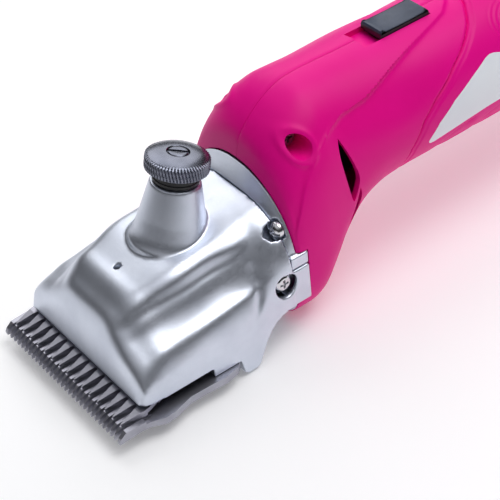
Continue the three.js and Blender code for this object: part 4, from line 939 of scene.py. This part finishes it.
def make_side_screw(word, side):
    x, z, out = SIDE["x"], SIDE["z"], SIDE["seat"] + 0.2
    head = [(0, 22), (2, 22), (2, out), (3.5, out), (3.5, out + 1.2), (2.6, out + 1.9), (0, out + 2.1)]
    screw = lathe(f"side_screw_{word}_skin", rounded(head, 0.3), side_axis(side), 56)
    deep = (side * (out + 0.9), side * 40)
    join_cut(screw, [box("slot_a", (x - 1.9, x + 1.9), deep, (z - 0.5, z + 0.5)),
                     box("slot_b", (x - 0.5, x + 0.5), deep, (z - 1.9, z + 1.9))])
    bevel(screw, 0.1, 2, 40)
    finish_piece(screw, "shears", MATS["polished_steel"], [f"side_screw_{word}"], 35)


def make_screws():
    for word, side in (("left", -1), ("right", 1)):
        make_rim_screw(word, side)
        make_side_screw(word, side)
    for k, (x, z) in enumerate(BOSSES):
        head = [(0, -15.4), (3.2, -15.4), (3.2, -13.2), (1.6, -13.2), (1.6, 11), (0, 11)]
        screw = lathe(f"grip_screw_{k + 1}_skin", rounded(head, 0.3), axis_frame((x, 0, z), ALONG["y"]), 48)
        join_cut(screw, [box("slot_a", (x - 2, x + 2), (-20, -14.2), (z - 0.5, z + 0.5)),
                         box("slot_b", (x - 0.5, x + 0.5), (-20, -14.2), (z - 2, z + 2))])
        finish_piece(screw, "shears", MATS["steel"], [f"grip_screw_{k + 1}"], 35)


# ---------------------------------------------------------------- switch

SLIDER = {"front": 157.0, "back": 179.5, "half": 5.9, "top": 86.18, "lip": 1.1}


def make_switch():
    x0, x1, half, top, lip = SLIDER.values()
    outline = [(x0, 81.5), (x0, 82.7), (x0 - lip, 83.1), (x0 - lip, 85.2), (x0 - 0.5, top), (x0 + 0.6, top),
               (x0 + 1.7, 85.6), (168, 85.45), (x1 - 2.2, 85.6), (x1 - 1.2, top), (x1 - 0.3, top),
               (x1 + 0.5, 85.2), (x1 + 0.5, 82.9), (x1, 82.7), (x1, 81.5)]
    cap = prism("slider_skin", outline, -half, half)
    for side in (-1, 1):
        chamfer = [(side * 3.6, 87.5), (side * 7, 87.5), (side * 7, 83.6), (side * half, 84.7)]
        shoulder = prism("shoulder", chamfer, 150, 190)
        # prism draws in x and z and runs along y: swapping x and y turns it along the tool
        shoulder.data.transform(Matrix(((0, 1, 0, 0), (1, 0, 0, 0), (0, 0, 1, 0), (0, 0, 0, 1))))
        shoulder.data.transform(Matrix.Translation((-TIP_MM * MM, TIP_MM * MM, 0)))
        join_cut(cap, [shoulder])
    join_cut(cap, [box("rod_foot", (165.3, 171.2), (-1.9, 1.9), (76.9, 82))], "UNION")
    bevel(cap, 0.45, 3, 50)
    finish_piece(cap, "switch", MATS["slate_plastic"], ["switch_slider"], 40)
    # Painted shade: the slider's side faces and the part sunk below the grip's top take the black material
    # in place of the shade they sit in; only the upward faces keep the slate colour.
    cap.data.materials.append(MATS["black_plastic"])
    shade_line = 84.2 * MM
    for face in cap.data.polygons:
        if face.normal.z < 0.35 or face.center.z < shade_line:
            face.material_index = 1


def make_bush():
    bush = [(4, 312), (6.1, 312), (6.1, 324.6), (5.9, 326), (4.3, 326), (4, 325.6), (4, 312)]
    finish_piece(lathe("cord_bush_skin", bush, motor, 72), "shears", MATS["black_rubber"],
                 ["cord_bush"], 40)


# ---------------------------------------------------------------- camera, light, floor

VIEW = {"from": (-0.21104, -0.40442, 0.42284), "right": (0.78928, -0.60811, -0.08506),
        "up": (0.44634, 0.47307, 0.75960), "back": (-0.42168, -0.63751, 0.64481)}


def make_camera():
    data = bpy.data.cameras.new("camera")
    data.lens, data.sensor_width = 117.37, 36.0
    data.clip_start, data.clip_end = 0.01, 20
    camera = bpy.data.objects.new("camera", data)
    columns = (VIEW["right"], VIEW["up"], VIEW["back"], VIEW["from"])
    camera.matrix_world = Matrix([tuple(column[i] for column in columns) for i in range(3)] + [(0, 0, 0, 1)])
    bpy.context.scene.collection.objects.link(camera)
    bpy.context.scene.camera = camera


def area_light(name, place, target, size, power):
    data = bpy.data.lights.new(name, "AREA")
    data.energy, data.size = power, size
    light = bpy.data.objects.new(name, data)
    light.location = place
    light.rotation_mode = "QUATERNION"
    light.rotation_quaternion = (Vector(target) - Vector(place)).to_track_quat("-Z", "Y")
    bpy.context.scene.collection.objects.link(light)


FLOOR_REACH, FLOOR_GAP, FLOOR_GLOW = 6.0, 0.0004, 0.16
SKY_STRENGTH = 0.54
# (height of a direction, brightness): 0 is the horizon and everything below it, 1 is straight up.
SKY = ((0.0, 0.4), (0.04, 0.25), (0.12, 0.06), (0.32, 0.06), (0.5, 0.2), (0.68, 0.5), (0.85, 0.95),
       (1.0, 1.0))


def make_floor():
    low = min(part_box("grip_left")[0].z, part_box("head_casting")[0].z) - FLOOR_GAP
    corners = [(x * FLOOR_REACH, y * FLOOR_REACH, low) for x, y in ((-1, -1), (1, -1), (1, 1), (-1, 1))]
    floor = bpy.data.meshes.new("floor")
    floor.from_pydata(corners, [], [(0, 1, 2, 3)])
    plane = bpy.data.objects.new("floor", floor)
    bpy.context.scene.collection.objects.link(plane)
    mat, _, _, shader = material("pale_floor", (0.93, 0.93, 0.94), 0.0, 0.8)
    shader.inputs["Emission Color"].default_value = (1, 1, 1, 1)
    shader.inputs["Emission Strength"].default_value = FLOOR_GLOW
    floor.materials.append(mat)


def make_sky():
    world = bpy.data.worlds.new("studio")
    bpy.context.scene.world = world
    world.use_nodes = True
    nodes, links = world.node_tree.nodes, world.node_tree.links
    sky = nodes["Background"]
    kinds = ("ShaderNodeTexCoord", "ShaderNodeSeparateXYZ", "ShaderNodeValToRGB")
    coords, split, ramp = (nodes.new(kind) for kind in kinds)
    links.new(coords.outputs["Generated"], split.inputs["Vector"])
    links.new(split.outputs["Z"], ramp.inputs["Fac"])
    links.new(ramp.outputs["Color"], sky.inputs["Color"])
    elements = ramp.color_ramp.elements
    while len(elements) < len(SKY):
        elements.new(0.5)
    for element, (place, level) in zip(elements, SKY):
        element.position = place
        element.color = (level, level, level * 1.03, 1)
    sky.inputs["Strength"].default_value = SKY_STRENGTH


def make_lights():
    middle = (0.04, 0, 0.03)
    area_light("top", (0.34, -0.2, 0.85), middle, 0.6, 4.3)
    area_light("back", (0.55, 0.8, 0.8), middle, 1.1, 6.6)
    bpy.context.scene.view_settings.view_transform = "Standard"


make_head()
make_flange()
make_grip(-1)
make_grip(1)
make_label()
make_tail()
make_knob()
make_screws()
make_switch()
make_bush()
make_camera()
make_floor()
make_sky()
make_lights()
